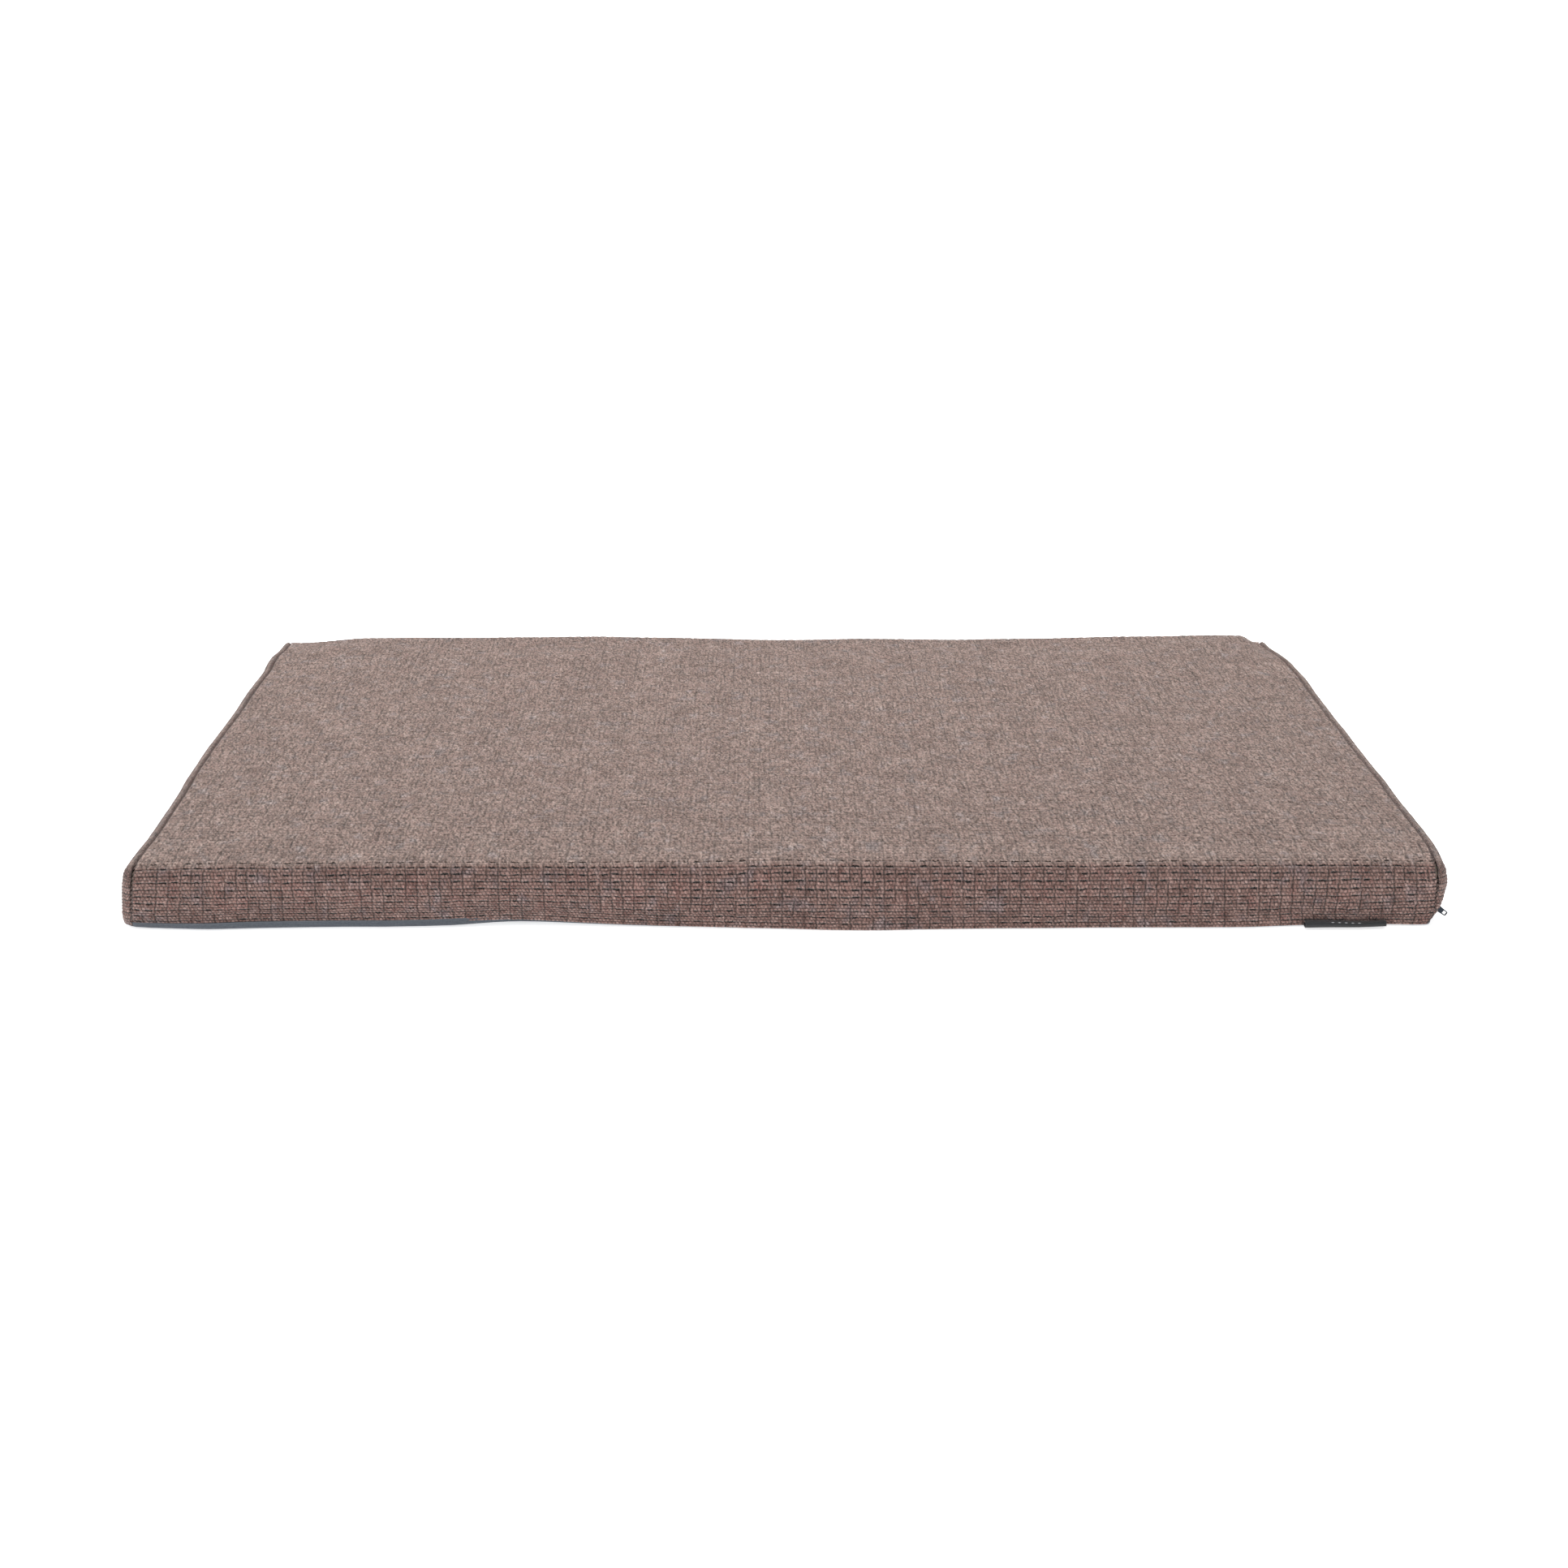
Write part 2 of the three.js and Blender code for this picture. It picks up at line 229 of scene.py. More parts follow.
def put_cloth(ob, values):
    """The cloth's own coordinates at each point: column, row, gap strength."""
    a = ob.data.attributes.new("cloth", "FLOAT_VECTOR", "POINT")
    a.data.foreach_set("vector", np.asarray(values, np.float32).reshape(-1, 3).ravel())


def put_uv(ob, uv_points):
    """One UV map that fills the square, given at each point."""
    me = ob.data
    layer = me.uv_layers.new(name="OFBake")
    idx = np.zeros(len(me.loops), np.int32)
    me.loops.foreach_get("vertex_index", idx)
    uv = np.asarray(uv_points, np.float32).reshape(-1, 2)[idx]
    layer.uv.foreach_set("vector", uv.ravel())


def join_parts(parts):
    """Several (points, quads, tris) as one."""
    co, quads, tris, n = [], [], [], 0
    for p, q, t in parts:
        p = np.asarray(p, float).reshape(-1, 3)
        co.append(p)
        if q is not None and len(q):
            quads.append(np.asarray(q, int) + n)
        if t is not None and len(t):
            tris.append(np.asarray(t, int) + n)
        n += len(p)
    return (
        np.concatenate(co),
        np.concatenate(quads) if quads else None,
        np.concatenate(tris) if tris else None,
    )


def grid_normals(P):
    di = np.gradient(P, axis=0)
    dj = np.gradient(P, axis=1)
    n = np.cross(di, dj)
    return n / np.maximum(np.linalg.norm(n, axis=-1, keepdims=True), 1e-9)


# ---------------------------------------------------------------- the filled cover, simulated
def rounded_box(lo, hi, r, step, bottom_r=None):
    """A closed box of quads with rounded edges: points and faces."""
    lo, hi = np.array(lo, float), np.array(hi, float)
    bottom_r = r if bottom_r is None else bottom_r

    def ticks(a, b):
        n = max(int(round((b - a - 2 * r) / step)), 1)
        arc = r * (1 - np.cos(np.linspace(0, math.pi / 2, 4)))[:-1]
        return np.concatenate([a + arc, np.linspace(a + r, b - r, n + 1), (b - arc)[::-1]])

    xs, ys, zs = (ticks(lo[k], hi[k]) for k in range(3))
    faces, pts = [], []
    n = 0

    def add(A, B, C, flip):
        nonlocal n
        P = np.stack([A, B, C], -1)
        pts.append(P.reshape(-1, 3))
        faces.append(grid_faces(P.shape[0], P.shape[1], n, flip=flip))
        n += P.shape[0] * P.shape[1]

    X, Y = np.meshgrid(xs, ys, indexing="ij")
    add(X, Y, np.full_like(X, hi[2]), False)
    add(X, Y, np.full_like(X, lo[2]), True)
    X, Z = np.meshgrid(xs, zs, indexing="ij")
    add(X, np.full_like(X, lo[1]), Z, False)
    add(X, np.full_like(X, hi[1]), Z, True)
    Y, Z = np.meshgrid(ys, zs, indexing="ij")
    add(np.full_like(Y, hi[0]), Y, Z, False)
    add(np.full_like(Y, lo[0]), Y, Z, True)
    P = np.concatenate(pts)
    rr = np.where(P[:, 2] < (lo[2] + hi[2]) / 2, bottom_r, r)[:, None]
    core = np.clip(P, lo + rr, hi - rr)
    d = P - core
    n_ = np.linalg.norm(d, axis=1, keepdims=True)
    P = core + d / np.maximum(n_, 1e-9) * rr
    return P, np.concatenate(faces)


def weld(ob, dist=1e-5):
    bm = bmesh.new()
    bm.from_mesh(ob.data)
    bmesh.ops.remove_doubles(bm, verts=bm.verts, dist=dist)
    bmesh.ops.recalc_face_normals(bm, faces=bm.faces)
    bm.to_mesh(ob.data)
    bm.free()
    return ob


SWELL = 3.0  # as far as the cover may stand off the foam, in millimetres


def simulate_cover():
    """Blows the closed cover up a little over the foam and lets the cloth settle.
    Returns the rest points and how far each one moved, in millimetres."""
    P, F = rounded_box((-HX + 1.2, -HY + 1.2, 0.6), (HX - 1.2, HY - 1.2, TOP - 1.2), 9.0, 11.0, 3.0)
    ob = weld(make_mesh("cover_sim", P, F), 1e-5)
    me = ob.data
    rest = np.zeros(len(me.vertices) * 3)
    me.vertices.foreach_get("co", rest)
    rest = rest.reshape(-1, 3) * 1000.0
    pin = ob.vertex_groups.new(name="pin")
    low = np.nonzero(rest[:, 2] < 1.5)[0]
    pin.add([int(i) for i in low], 1.0, "REPLACE")
    seam = np.nonzero((np.abs(np.abs(rest[:, 0]) - SEAM) < 3.5) & (rest[:, 2] >= 1.5))[0]
    pin.add([int(i) for i in seam], 0.35, "REPLACE")
    mod = ob.modifiers.new("Cloth", "CLOTH")
    s = mod.settings
    s.quality = 6
    s.mass = 0.4
    s.tension_stiffness = 25
    s.compression_stiffness = 25
    s.shear_stiffness = 12
    s.bending_stiffness = 4.0
    s.use_pressure = True
    s.uniform_pressure_force = 4.0
    s.vertex_group_mass = "pin"
    s.effector_weights.gravity = 0.0
    mod.collision_settings.use_collision = False
    mod.collision_settings.use_self_collision = False
    mod.point_cache.frame_start = 1
    mod.point_cache.frame_end = 20
    for f in range(1, 21):
        scene.frame_set(f)
    dg = bpy.context.evaluated_depsgraph_get()
    ev = ob.evaluated_get(dg)
    moved = np.zeros(len(rest) * 3)
    ev.to_mesh().vertices.foreach_get("co", moved)
    moved = moved.reshape(-1, 3) * 1000.0 - rest
    ev.to_mesh_clear()
    scene.frame_set(1)
    bpy.data.objects.remove(ob)
    # the foam is behind the cloth, so hardly any of it moves inward
    core = np.array([HX - 30.0, HY - 30.0, 0.0])
    away = np.stack([rest[:, 0] - np.clip(rest[:, 0], -core[0], core[0]), rest[:, 1] - np.clip(rest[:, 1], -core[1], core[1]), np.maximum(rest[:, 2] - 20.0, 0.0)], -1)
    away /= np.maximum(np.linalg.norm(away, axis=1, keepdims=True), 1e-9)
    inward = np.minimum((moved * away).sum(1, keepdims=True), 0.0)
    moved = moved - away * inward * 0.8
    far = np.linalg.norm(moved, axis=1, keepdims=True)
    moved = moved / np.maximum(far, 1e-9) * (SWELL * (1 - np.exp(-far / SWELL)))
    return rest, moved


class Swell:
    """How far the filled cover stands off its rest shape at any point of it."""

    def __init__(self, quick):
        self.tree = None
        if not quick:
            rest, self.moved = simulate_cover()
            self.tree = kdtree.KDTree(len(rest))
            for i, p in enumerate(rest):
                self.tree.insert(p, i)
            self.tree.balance()

    def at(self, P, N):
        shape = P.shape
        P, N = P.reshape(-1, 3), N.reshape(-1, 3)
        if self.tree is None:
            x, y, z = np.abs(P[:, 0]) / SEAM, np.abs(P[:, 1]) / HY, P[:, 2] / TOP
            up = (1 - x**6) * (1 - y**6)
            side = 4 * z * (1 - z)
            amount = 2.2 * np.where(N[:, 2] > 0.7, np.clip(up, 0, 1), 0.8 * side)
            return (N * amount[:, None]).reshape(shape)
        out = np.zeros_like(P)
        for k, p in enumerate(P):
            w_all, d = 0.0, 0.0
            for _, i, dist in self.tree.find_n(p, 5):
                w = 1.0 / (dist + 1.5) ** 2
                w_all += w
                d = d + w * self.moved[i]
            out[k] = d / w_all
        return out.reshape(shape)


SWELLING = Swell(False)


# ---------------------------------------------------------------- the weave's relief
def weave_height(u, v, g):
    """Height of the chenille's own relief, in millimetres. One column per unit of u, one row per unit of v."""
    fu, fv = u - np.floor(u), v - np.floor(v)
    du, dv = np.abs(fu - 0.5), np.abs(fv - 0.5)
    groove = smooth(0.30, 0.5, du)
    pick = np.abs(np.sin(2 * math.pi * v)) ** 0.8
    row = smooth(0.26, 0.5, dv)
    gap = (1 - smooth(0.14, 0.36, du)) * row * g
    lump = 0.22 * (vnoise(u * 2.0 + 11, v * 2.0 + 5, 9) - 0.5) + 0.2 * (
        vnoise(u * 4.0, v * 4.0, 12) - 0.5
    )
    return 0.42 * pick - 0.26 * groove - 0.75 * gap + lump - 0.1


def rolled(d, r):
    """How deep cloth rolls in at distance d from a seam it turns into with radius r."""
    d = np.clip(d, 0.0, r)
    return r - np.sqrt(np.maximum(r * r - (r - d) ** 2, 0.0))


def front_in(x):
    """How far the lower front edge wanders in (+) or out (-), along the length."""
    return curve_through(
        [(-500, 2.5), (-470, 0.5), (-440, -1.5), (-400, 0.5), (-340, 2.2), (-260, 3.0), (-205, 7.5), (-170, 6.0), (-120, 2.5),
         (-60, -0.5), (0, -4.0), (60, -7.0), (110, -5.5), (170, -5.0), (240, -4.6), (300, -4.8), (350, -4.8),
         (392, -1.4), (430, -1.4), (456, 0.0), (480, -1.5), (500, -1.0)],
        x,
    )


def base_lift(x):
    """How far the lower front edge is off the floor."""
    knots = [(-500, 1.0), (-480, 0.4), (-440, 0.0), (-300, 0.0), (-250, 0.6), (-205, 1.9), (-150, 1.0), (-80, 0.0), (0, 0.0), (455, 0.0), (480, 0.2), (500, 0.5)]
    return np.maximum(curve_through(knots, x), 0.0)


def hem_height(x, y):
    """Height of the chenille's lower edge: a little of the base cloth shows at the front left."""
    front = curve_through(
        [(-500, 2.6), (-480, 3.4), (-420, 5.0), (-330, 5.2), (-260, 5.0), (-200, 4.0), (-130, 2.8), (-40, 2.0), (120, 1.7),
         (300, 1.7), (390, 2.0), (455, 1.9), (480, 2.2), (500, 2.6)],
        x,
    )
    front = front + base_lift(x)
    k = smooth(-315.0, -250.0, y)
    return front * (1 - k) + (HEM - 0.4) * k


def right_slope(x, y, z):
    """Brings points in to the sloping lower right edge, fuller at the two corners."""
    full = 2.6 * smooth(301.0, 311.0, np.abs(y))
    lim = slope_x(z, 3.0) + full
    k = 2.2
    return x - k * np.log1p(np.exp(np.clip((x - lim) / k, -60, 60)))


def settle(P):
    """The used mat's own outline: the foam's sides and rear edge aren't quite straight and the rear corners are rounded off. The zip's strip stays where it is."""
    P = np.array(P, float)
    x, y, z = P[..., 0], P[..., 1], P[..., 2]
    up = np.clip(z / TOP, 0, 1.1)
    right = curve_through(RIGHT_SIDE, y) * smooth(330.0, 495.0, x) * smooth(16.0, 34.0, z)
    left = curve_through(LEFT_SIDE, y) * smooth(330.0, 495.0, -x) * (0.35 + 0.65 * up)
    front_r = curve_through(FRONT_RIGHT, z) * smooth(440.0, 495.0, x) * smooth(-270.0, -304.0, y)
    front_l = curve_through(FRONT_LEFT, z) * smooth(440.0, 495.0, -x) * smooth(-230.0, -296.0, y)
    rear = curve_through(REAR_EDGE, x) * smooth(60.0, 300.0, y) * up
    a = smooth(70.0, 0.0, np.hypot(np.clip(488 - x, 0, None) * 2.5, np.clip(302 - y, 0, None) * 0.75))
    b = smooth(90.0, 0.0, np.hypot(np.clip(x + 470, 0, None) * 1.2, np.clip(300 - y, 0, None) * 1.6))
    dz = rear - 7.2 * a * up - 2.5 * b * up
    # the pile is pressed down where the pull lies against it
    worn = np.exp(-(((y + 310.0) / 4.5) ** 2)) * np.exp(-(((z - 12.0) / 6.0) ** 2)) * smooth(470.0, 488.0, x)
    dx = right + front_r - 1.8 * worn - left - front_l - 8.0 * a * smooth(16.0, 34.0, z) - 2.0 * b * up
    dy = -3.0 * a * up - 0.5 * b
    P[..., 0] += dx
    P[..., 1] += dy
    P[..., 2] += dz
    return P


RIGHT_SIDE = [(-315, 0.5), (-308, 0.9), (-281, 3.1), (-253, 3.7), (-224, 3.4), (-194, 3.0), (-164, 2.6), (-132, 3.0), (-100, 2.6), (-66, 1.9), (-31, 1.4), (4, 1.8), (41, 0.8), (80, 0.8), (120, 0.2), (161, 0.4), (204, -2.0), (226, -2.8), (249, -1.5), (280, 0), (315, 0)]
LEFT_SIDE = [(-315, -0.5), (-281, -0.8), (-253, -1.9), (-224, -2.0), (-194, -1.4), (-164, -1.0), (-132, -0.2), (-100, 1.5), (-66, 1.8), (-31, 2.3), (4, 2.0), (41, 1.3), (80, 1.2), (120, 2.0), (161, 1.9), (204, 1.6), (226, 3.0), (249, 3.8), (272, 1.4), (315, 0.5)]
FRONT_RIGHT = [(-5, -2.2), (0, -2.2), (4, -2.0), (8, -1.0), (12, 0), (26, 0.5), (31, 0.9), (36, 1.0), (41, 0), (50, -0.8)]
FRONT_LEFT = [(-5, 2.3), (0, 2.4), (5, 2.8), (10, 3.2), (16, 3.2), (21, 2.9), (26, 2.7), (31, 2.0), (36, 1.8), (41, 0.9), (50, 0)]
REAR_EDGE = [(-500, -0.5), (-475, -0.8), (-459, 0.6), (-426, 2.6), (-393, 2.6), (-361, 2.9), (-328, 2.2), (-262, 2.7), (-197, 3.4), (-131, 2.0), (-66, 0), (0, -1.4), (66, -0.5), (131, -0.7), (197, -0.6), (262, 0.1), (328, 1.5), (393, 2.2), (459, 2.2), (475, 1.2), (492, 2.6), (505, 2.0)]


# ---------------------------------------------------------------- the chenille wrap
def profile(t, hem):
    """Runs over the mat from the front hem (t < 0) to the back hem: y, z, and the way out there."""
    flat = HY - RF
    side = np.sign(t)
    a = np.abs(t)
    arc = RF * math.pi / 2
    drop = (TOP - RF) - hem
    curl_r = 1.2
    th = np.clip((a - flat) / RF, 0, math.pi / 2)
    y = np.minimum(a, flat) + RF * np.sin(th)
    z = TOP - RF * (1 - np.cos(th))
    down = np.clip(a - flat - arc, 0, None)
    straight = TOP - RF - HEM
    z = z - np.clip(down, 0, straight) * (drop / straight)
    c = np.clip(down - straight, 0, None)
    ph = np.clip(c / curl_r, 0, math.pi)
    y = y - curl_r * (1 - np.cos(ph)) * (c > 0)
    z = z - curl_r * np.sin(ph) * (c > 0) + np.clip(c - curl_r * math.pi, 0, None)
    n_y = np.where(c > 0, np.cos(ph), np.sin(th))
    n_z = np.where(c > 0, -np.sin(ph), np.cos(th))
    return side * y, z, side * n_y, n_z


def end_lines(inner, fine):
    """Lines from the middle out to +-inner on the weave's own step, then close lines into the seam."""
    keep = fine[np.abs(fine) < inner - 3.2]
    tail = inner - np.array([2.6, 1.7, 1.0, 0.5, 0.2, 0.0])
    beyond = inner + np.array([0.9, 2.0])
    ends = np.concatenate([tail, beyond])
    return np.concatenate([-ends[::-1], keep, ends])


def build_wrap():
    flat, arc = HY - RF, RF * math.pi / 2
    straight = TOP - RF - HEM
    s_phase, t_phase = -404.6, -(flat + arc / 2)
    s = s_phase + COL / 4 * np.arange(-60, 520)
    s = end_lines(SEAM, s)
    t_end = flat + arc + straight
    t = t_phase + ROW / 4 * np.arange(-60, 700)
    t = t[np.abs(t) < t_end - 1.9]
    tail = t_end + np.array([-1.2, -0.5, 0.0, 0.65, 1.3, 2.0, 2.8, 3.6, 5.0, 7.0])
    t = np.concatenate([-tail[::-1], t, tail])
    S, T = np.meshgrid(s, t, indexing="ij")
    U, V = (S - s_phase) / COL, (T - t_phase) / ROW
    inside = smooth(0, 14, SEAM - np.abs(S)) * smooth(0, 10, t_end - np.abs(T))
    S2 = S + inside * (1.3 * fbm(S / 70, T / 45, 1) + 0.5 * fbm(S / 9, T / 14, 4, 2))
    T2 = T + inside * (0.9 * fbm(S / 60, T / 80, 20) + 0.45 * fbm(S / 16, T / 9, 24, 2))
    x = np.clip(S2, -SEAM, SEAM)
    over = np.clip(np.abs(S) - SEAM, 0, None)
    hem = hem_height(x, np.sign(T2) * HY)
    y, z, ny, nz = profile(T2, hem)
    N = np.stack([np.zeros_like(ny), ny, nz], -1)
    P = np.stack([x, y, z], -1)
    # the swelling, known on a coarser lattice
    sl = np.unique(np.concatenate([np.linspace(-SEAM, SEAM, 61), [-SEAM + 6, SEAM - 6]]))
    tl = np.unique(
        np.concatenate(
            [
                np.linspace(-flat, flat, 41),
                *[sgn * (flat + np.linspace(0, arc + straight, 12)) for sgn in (-1, 1)],
            ]
        )
    )
    SL, TL = np.meshgrid(sl, tl, indexing="ij")
    yl, zl, nyl, nzl = profile(TL, np.full_like(TL, HEM))
    DL = SWELLING.at(np.stack([SL, yl, zl], -1), np.stack([0 * yl, nyl, nzl], -1))
    D = hermite(hermite(DL, sl, s, 0), tl, t, 1)
    low = smooth(0, 12, z - hem)
    D = D * (0.25 + 0.75 * low)[..., None]
    D[..., 2] *= np.where(nz > 0.5, 0.7, 1.0)
    P = P + D
    # slow unevenness of the foam and the cloth
    und = 0.9 * fbm(S / 210 + 3, T / 150 + 8, 30, 3) + 0.35 * fbm(S / 45, T / 40, 33, 2)
    und = und * (0.35 + 0.65 * smooth(0, 60, SEAM - np.abs(S)))
    seam_d = np.clip(SEAM - np.abs(S), 0, None)
    roll_in = rolled(seam_d, 1.15) + over
    g = gap_strength(U, V, T, flat, arc)
    fade = smooth(0.2, 2.2, seam_d) * smooth(-3.2, -0.4, t_end - np.abs(T))
    h = weave_height(U, V, g) * fade
    P = P + N * (und - roll_in + h)[..., None]
    # the lower front edge wanders, and the ends lean in to the side panels
    w = (1 - z / TOP).clip(0, 1) ** 1.5 * (T < 0) * smooth(flat, flat + arc, np.abs(T))
    P[..., 1] += front_in(x) * w
    w = (1 - z / TOP).clip(0, 1) ** 1.5 * (T > 0) * smooth(flat, flat + arc, np.abs(T))
    P[..., 1] -= (1.2 + 2.2 * fbm(x / 160 + 40, 0 * x, 40, 2)) * w
    pull = np.clip(x + 40 - SEAM, 0, 40) / 40
    P[..., 0] -= np.where(x > 0, pull**2, 0) * (
        P[..., 0] - right_slope(P[..., 0], P[..., 1], P[..., 2])
    )
    P = settle(P)
    ob = make_mesh("cover_wrap_cloth", P, grid_faces(len(s), len(t)))
    put_cloth(ob, np.stack([U, V, g], -1))
    ui = (s - s[0]) / (s[-1] - s[0])
    vi = (t - t[0]) / (t[-1] - t[0])
    UU, VV = np.meshgrid(ui, vi, indexing="ij")
    put_uv(ob, np.stack([UU, VV], -1) * 0.998 + 0.001)
    return ob, (s, t, P)


def gap_strength(U, V, T, flat, arc):
    """How open the weave's gaps are: closed on the flat top, open where the cloth bends over the front edge."""
    n = 0.6 * vnoise(U * 0.9 + 7, V * 0.9, 14) + 0.4 * vnoise(U * 0.3, V * 0.25 + 3, 15)
    at = (np.abs(T) - flat) / arc
    top = 0.04 + 0.22 * n
    bend = 0.85 + 0.15 * n
    face = 0.30 + 0.75 * n
    k1 = smooth(-0.35, 0.25, at)
    k2 = smooth(0.95, 1.5, at)
    return (top * (1 - k1) + bend * k1) * (1 - k2) + face * k2


wrap, wrap_grid = build_wrap()


# ---------------------------------------------------------------- the chenille side panels
def build_side(name, side):
    """side is -1 for the left panel, 1 for the right one, which opens at the zip."""
    cy, cz = HY - RS, TOP - RS
    A = RS * math.pi / 2
    yl = np.concatenate([COL / 4 * np.arange(-160, 161)])
    yl = yl[np.abs(yl) < cy + A - 2.6]
    tail = cy + A + np.array([-1.9, -1.3, -0.8, -0.4, -0.15, 0.0, 0.9, 2.0])
    yl = np.concatenate([-tail[::-1], yl, tail])
    z_top = cz + A
    zl_ = z_top - np.concatenate([[-2.0, -0.9, 0.0, 0.15, 0.4, 0.8, 1.3, 1.9], 2.5 + ROW / 4 * np.arange(0, 38)])
    hem_c = np.array([0.0, 0.45, 1.0, 1.7, 2.5, 3.4, 4.6, 6.5])  # the turned-in lower edge
    window = (smooth(301.5, 307.5, np.abs(yl)) if side > 0 else np.ones_like(yl))
    zmin = HEM * window + (1 - window) * (zip_point(6.0, 3.0)[1])
    hem_at = hem_height(np.full_like(yl, side * HX), yl)
    Y = np.repeat(yl[:, None], len(zl_) + len(hem_c), 1)
    # rows keep the weave's step and the last ones close up on the lower edge
    Z = np.zeros_like(Y)
    C = np.zeros_like(Y)
    full = zl_[zl_ > HEM + 0.5]
    for k in range(len(yl)):
        end = zmin[k] if side > 0 else hem_at[k]
        if side > 0:
            end = end * (1 - window[k]) + hem_at[k] * window[k]
        rows = np.where(full > 12, full, 12 + (full - 12) * (12 - end) / (12 - full[-1])) if end < 11 else (
            z_top + 2.0 - (z_top + 2.0 - full) * (z_top + 2.0 - end) / (z_top + 2.0 - full[-1])
        )
        Z[k, : len(full)] = rows
        Z[k, len(full) : len(full) + len(hem_c)] = end
        C[k, len(full) : len(full) + len(hem_c)] = hem_c
    Y, Z, C = (a[:, : len(full) + len(hem_c)] for a in (Y, Z, C))
    U = Y / COL + 0.37
    V = (Z - C - 44.0) / ROW
    ins = smooth(0, 10, cy + A - np.abs(Y)) * smooth(0, 8, z_top - Z) * smooth(0, 6, Z - HEM)
    Y2 = Y + ins * (1.0 * fbm(Y / 60, Z / 40 + 9, 41) + 0.4 * fbm(Y / 10, Z / 9, 44, 2))
    Z2 = Z + ins * (0.7 * fbm(Y / 50, Z / 60 + 5, 46) + 0.4 * fbm(Y / 14, Z / 8, 48, 2))
    # flat panel coordinates to the rolled shape
    dy = np.clip(np.abs(Y2) - cy, 0, A) / A
    dz = np.clip(Z2 - cz, 0, A) / A
    qy, qz = dy * np.sqrt(1 - dz**2 / 2), dz * np.sqrt(1 - dy**2 / 2)
    q = np.hypot(qy, qz)
    a = A * np.minimum(q, 1.0)
    ey = np.sign(Y2) * qy / np.maximum(q, 1e-9)
    ez = qz / np.maximum(q, 1e-9)
    th = a / RS
    y = np.clip(Y2, -cy, cy) + ey * RS * np.sin(th)
    z = np.minimum(Z2, cz) + ez * RS * np.sin(th)
    x = side * (SEAM + RS * np.cos(th))
    N = np.stack([side * np.cos(th), ey * np.sin(th), ez * np.sin(th)], -1)
    P = np.stack([x, y, z], -1)
    # the swelling
    yc = np.unique(np.concatenate([np.linspace(-cy, cy, 41), [-HY + 2, HY - 2]]))
    zc = np.linspace(HEM, TOP, 9)
    YC, ZC = np.meshgrid(yc, zc, indexing="ij")
    DC = SWELLING.at(
        np.stack([np.full_like(YC, side * HX), YC, ZC], -1),
        np.stack([np.full_like(YC, side), 0 * YC, 0 * YC], -1),
    )
    DC = hermite(DC, yc, np.clip(yl, yc[0], yc[-1]), 0)
    i = np.clip((z - HEM) / (TOP - HEM) * (len(zc) - 1), 0, len(zc) - 1.001)
    i0 = i.astype(int)
    f = (i - i0)[..., None]
    rowk = np.arange(len(yl))[:, None]
    D = DC[rowk, i0] * (1 - f) + DC[rowk, i0 + 1] * f
    edge = smooth(0, 9, A - a)
    low = smooth(0, 12, z - HEM)
    D = D * (0.2 + 0.8 * edge * low)[..., None]
    P = P + D
    und = (0.8 * fbm(Y / 140 + 13, Z / 60 + 2, 50, 3) + 0.3 * fbm(Y / 30, Z / 25, 53, 2)) * edge
    seam_d = np.clip(A * (1 - q), 0, None)
    over = np.maximum(np.abs(Y) - (cy + A), 0) + np.maximum(Z - z_top, 0)
    over = np.minimum(over, 2.2)
    n = 0.6 * vnoise(U * 0.9 + 7, V * 0.9, 16) + 0.4 * vnoise(U * 0.3, V * 0.25 + 3, 17)
    g = (0.30 + 0.7 * n) * (0.4 + 0.6 * smooth(0, 8, seam_d))
    fade = smooth(0.2, 2.2, seam_d) * smooth(3.0, 0.4, C)
    h = weave_height(U, V, g) * fade
    P = P + N * (und - rolled(seam_d, 1.15) - over + h)[..., None]
    if side > 0:
        P[..., 0] = right_slope(P[..., 0], P[..., 1], P[..., 2])
    else:
        P[..., 0] += 0.9 * smooth(14.0, 2.0, P[..., 2])
    # follow the wandering lower front edge at the corner
    w = (1 - np.clip(P[..., 2], 0, TOP) / TOP) ** 1.5 * smooth(cy - 6, HY, -P[..., 1])
    P[..., 1] += front_in(P[..., 0]) * w
    # turn the lower edge in
    last = P[:, len(full) - 1]
    nl = N[:, len(full) - 1].copy()
    if side > 0:
        sl = np.stack([np.full(len(yl), CT), np.zeros(len(yl)), np.full(len(yl), -ST)], -1)
        nl = nl * window[:, None] + sl * (1 - window[:, None])
        down = np.array([0, 0, -1.0]) * window[:, None] + np.array([-ST, 0, -CT]) * (1 - window[:, None])
    else:
        down = np.repeat(np.array([[0, 0, -1.0]]), len(yl), 0)
    nl /= np.linalg.norm(nl, axis=1, keepdims=True)
    rc = 1.15
    for m, c in enumerate(hem_c):
        ph = min(c / rc, math.pi)
        extra = max(c - rc * math.pi, 0)
        P[:, len(full) + m] = (
            last - nl * (rc * (1 - math.cos(ph))) + down * (rc * math.sin(ph) + 0.05) - down * extra
        )
    P = settle(P)
    ob = make_mesh(name, P, grid_faces(P.shape[0], P.shape[1], flip=(side < 0)))
    put_cloth(ob, np.stack([U, V, g], -1))
    ii = np.arange(P.shape[0]) / (P.shape[0] - 1)
    jj = np.arange(P.shape[1]) / (P.shape[1] - 1)
    II, JJ = np.meshgrid(ii, jj, indexing="ij")
    put_uv(ob, np.stack([II, JJ], -1) * 0.998 + 0.001)
    return ob, P


panel_left, left_grid = build_side("side_panel_left_cloth", -1)
panel_right, right_grid = build_side("side_panel_right_cloth", 1)


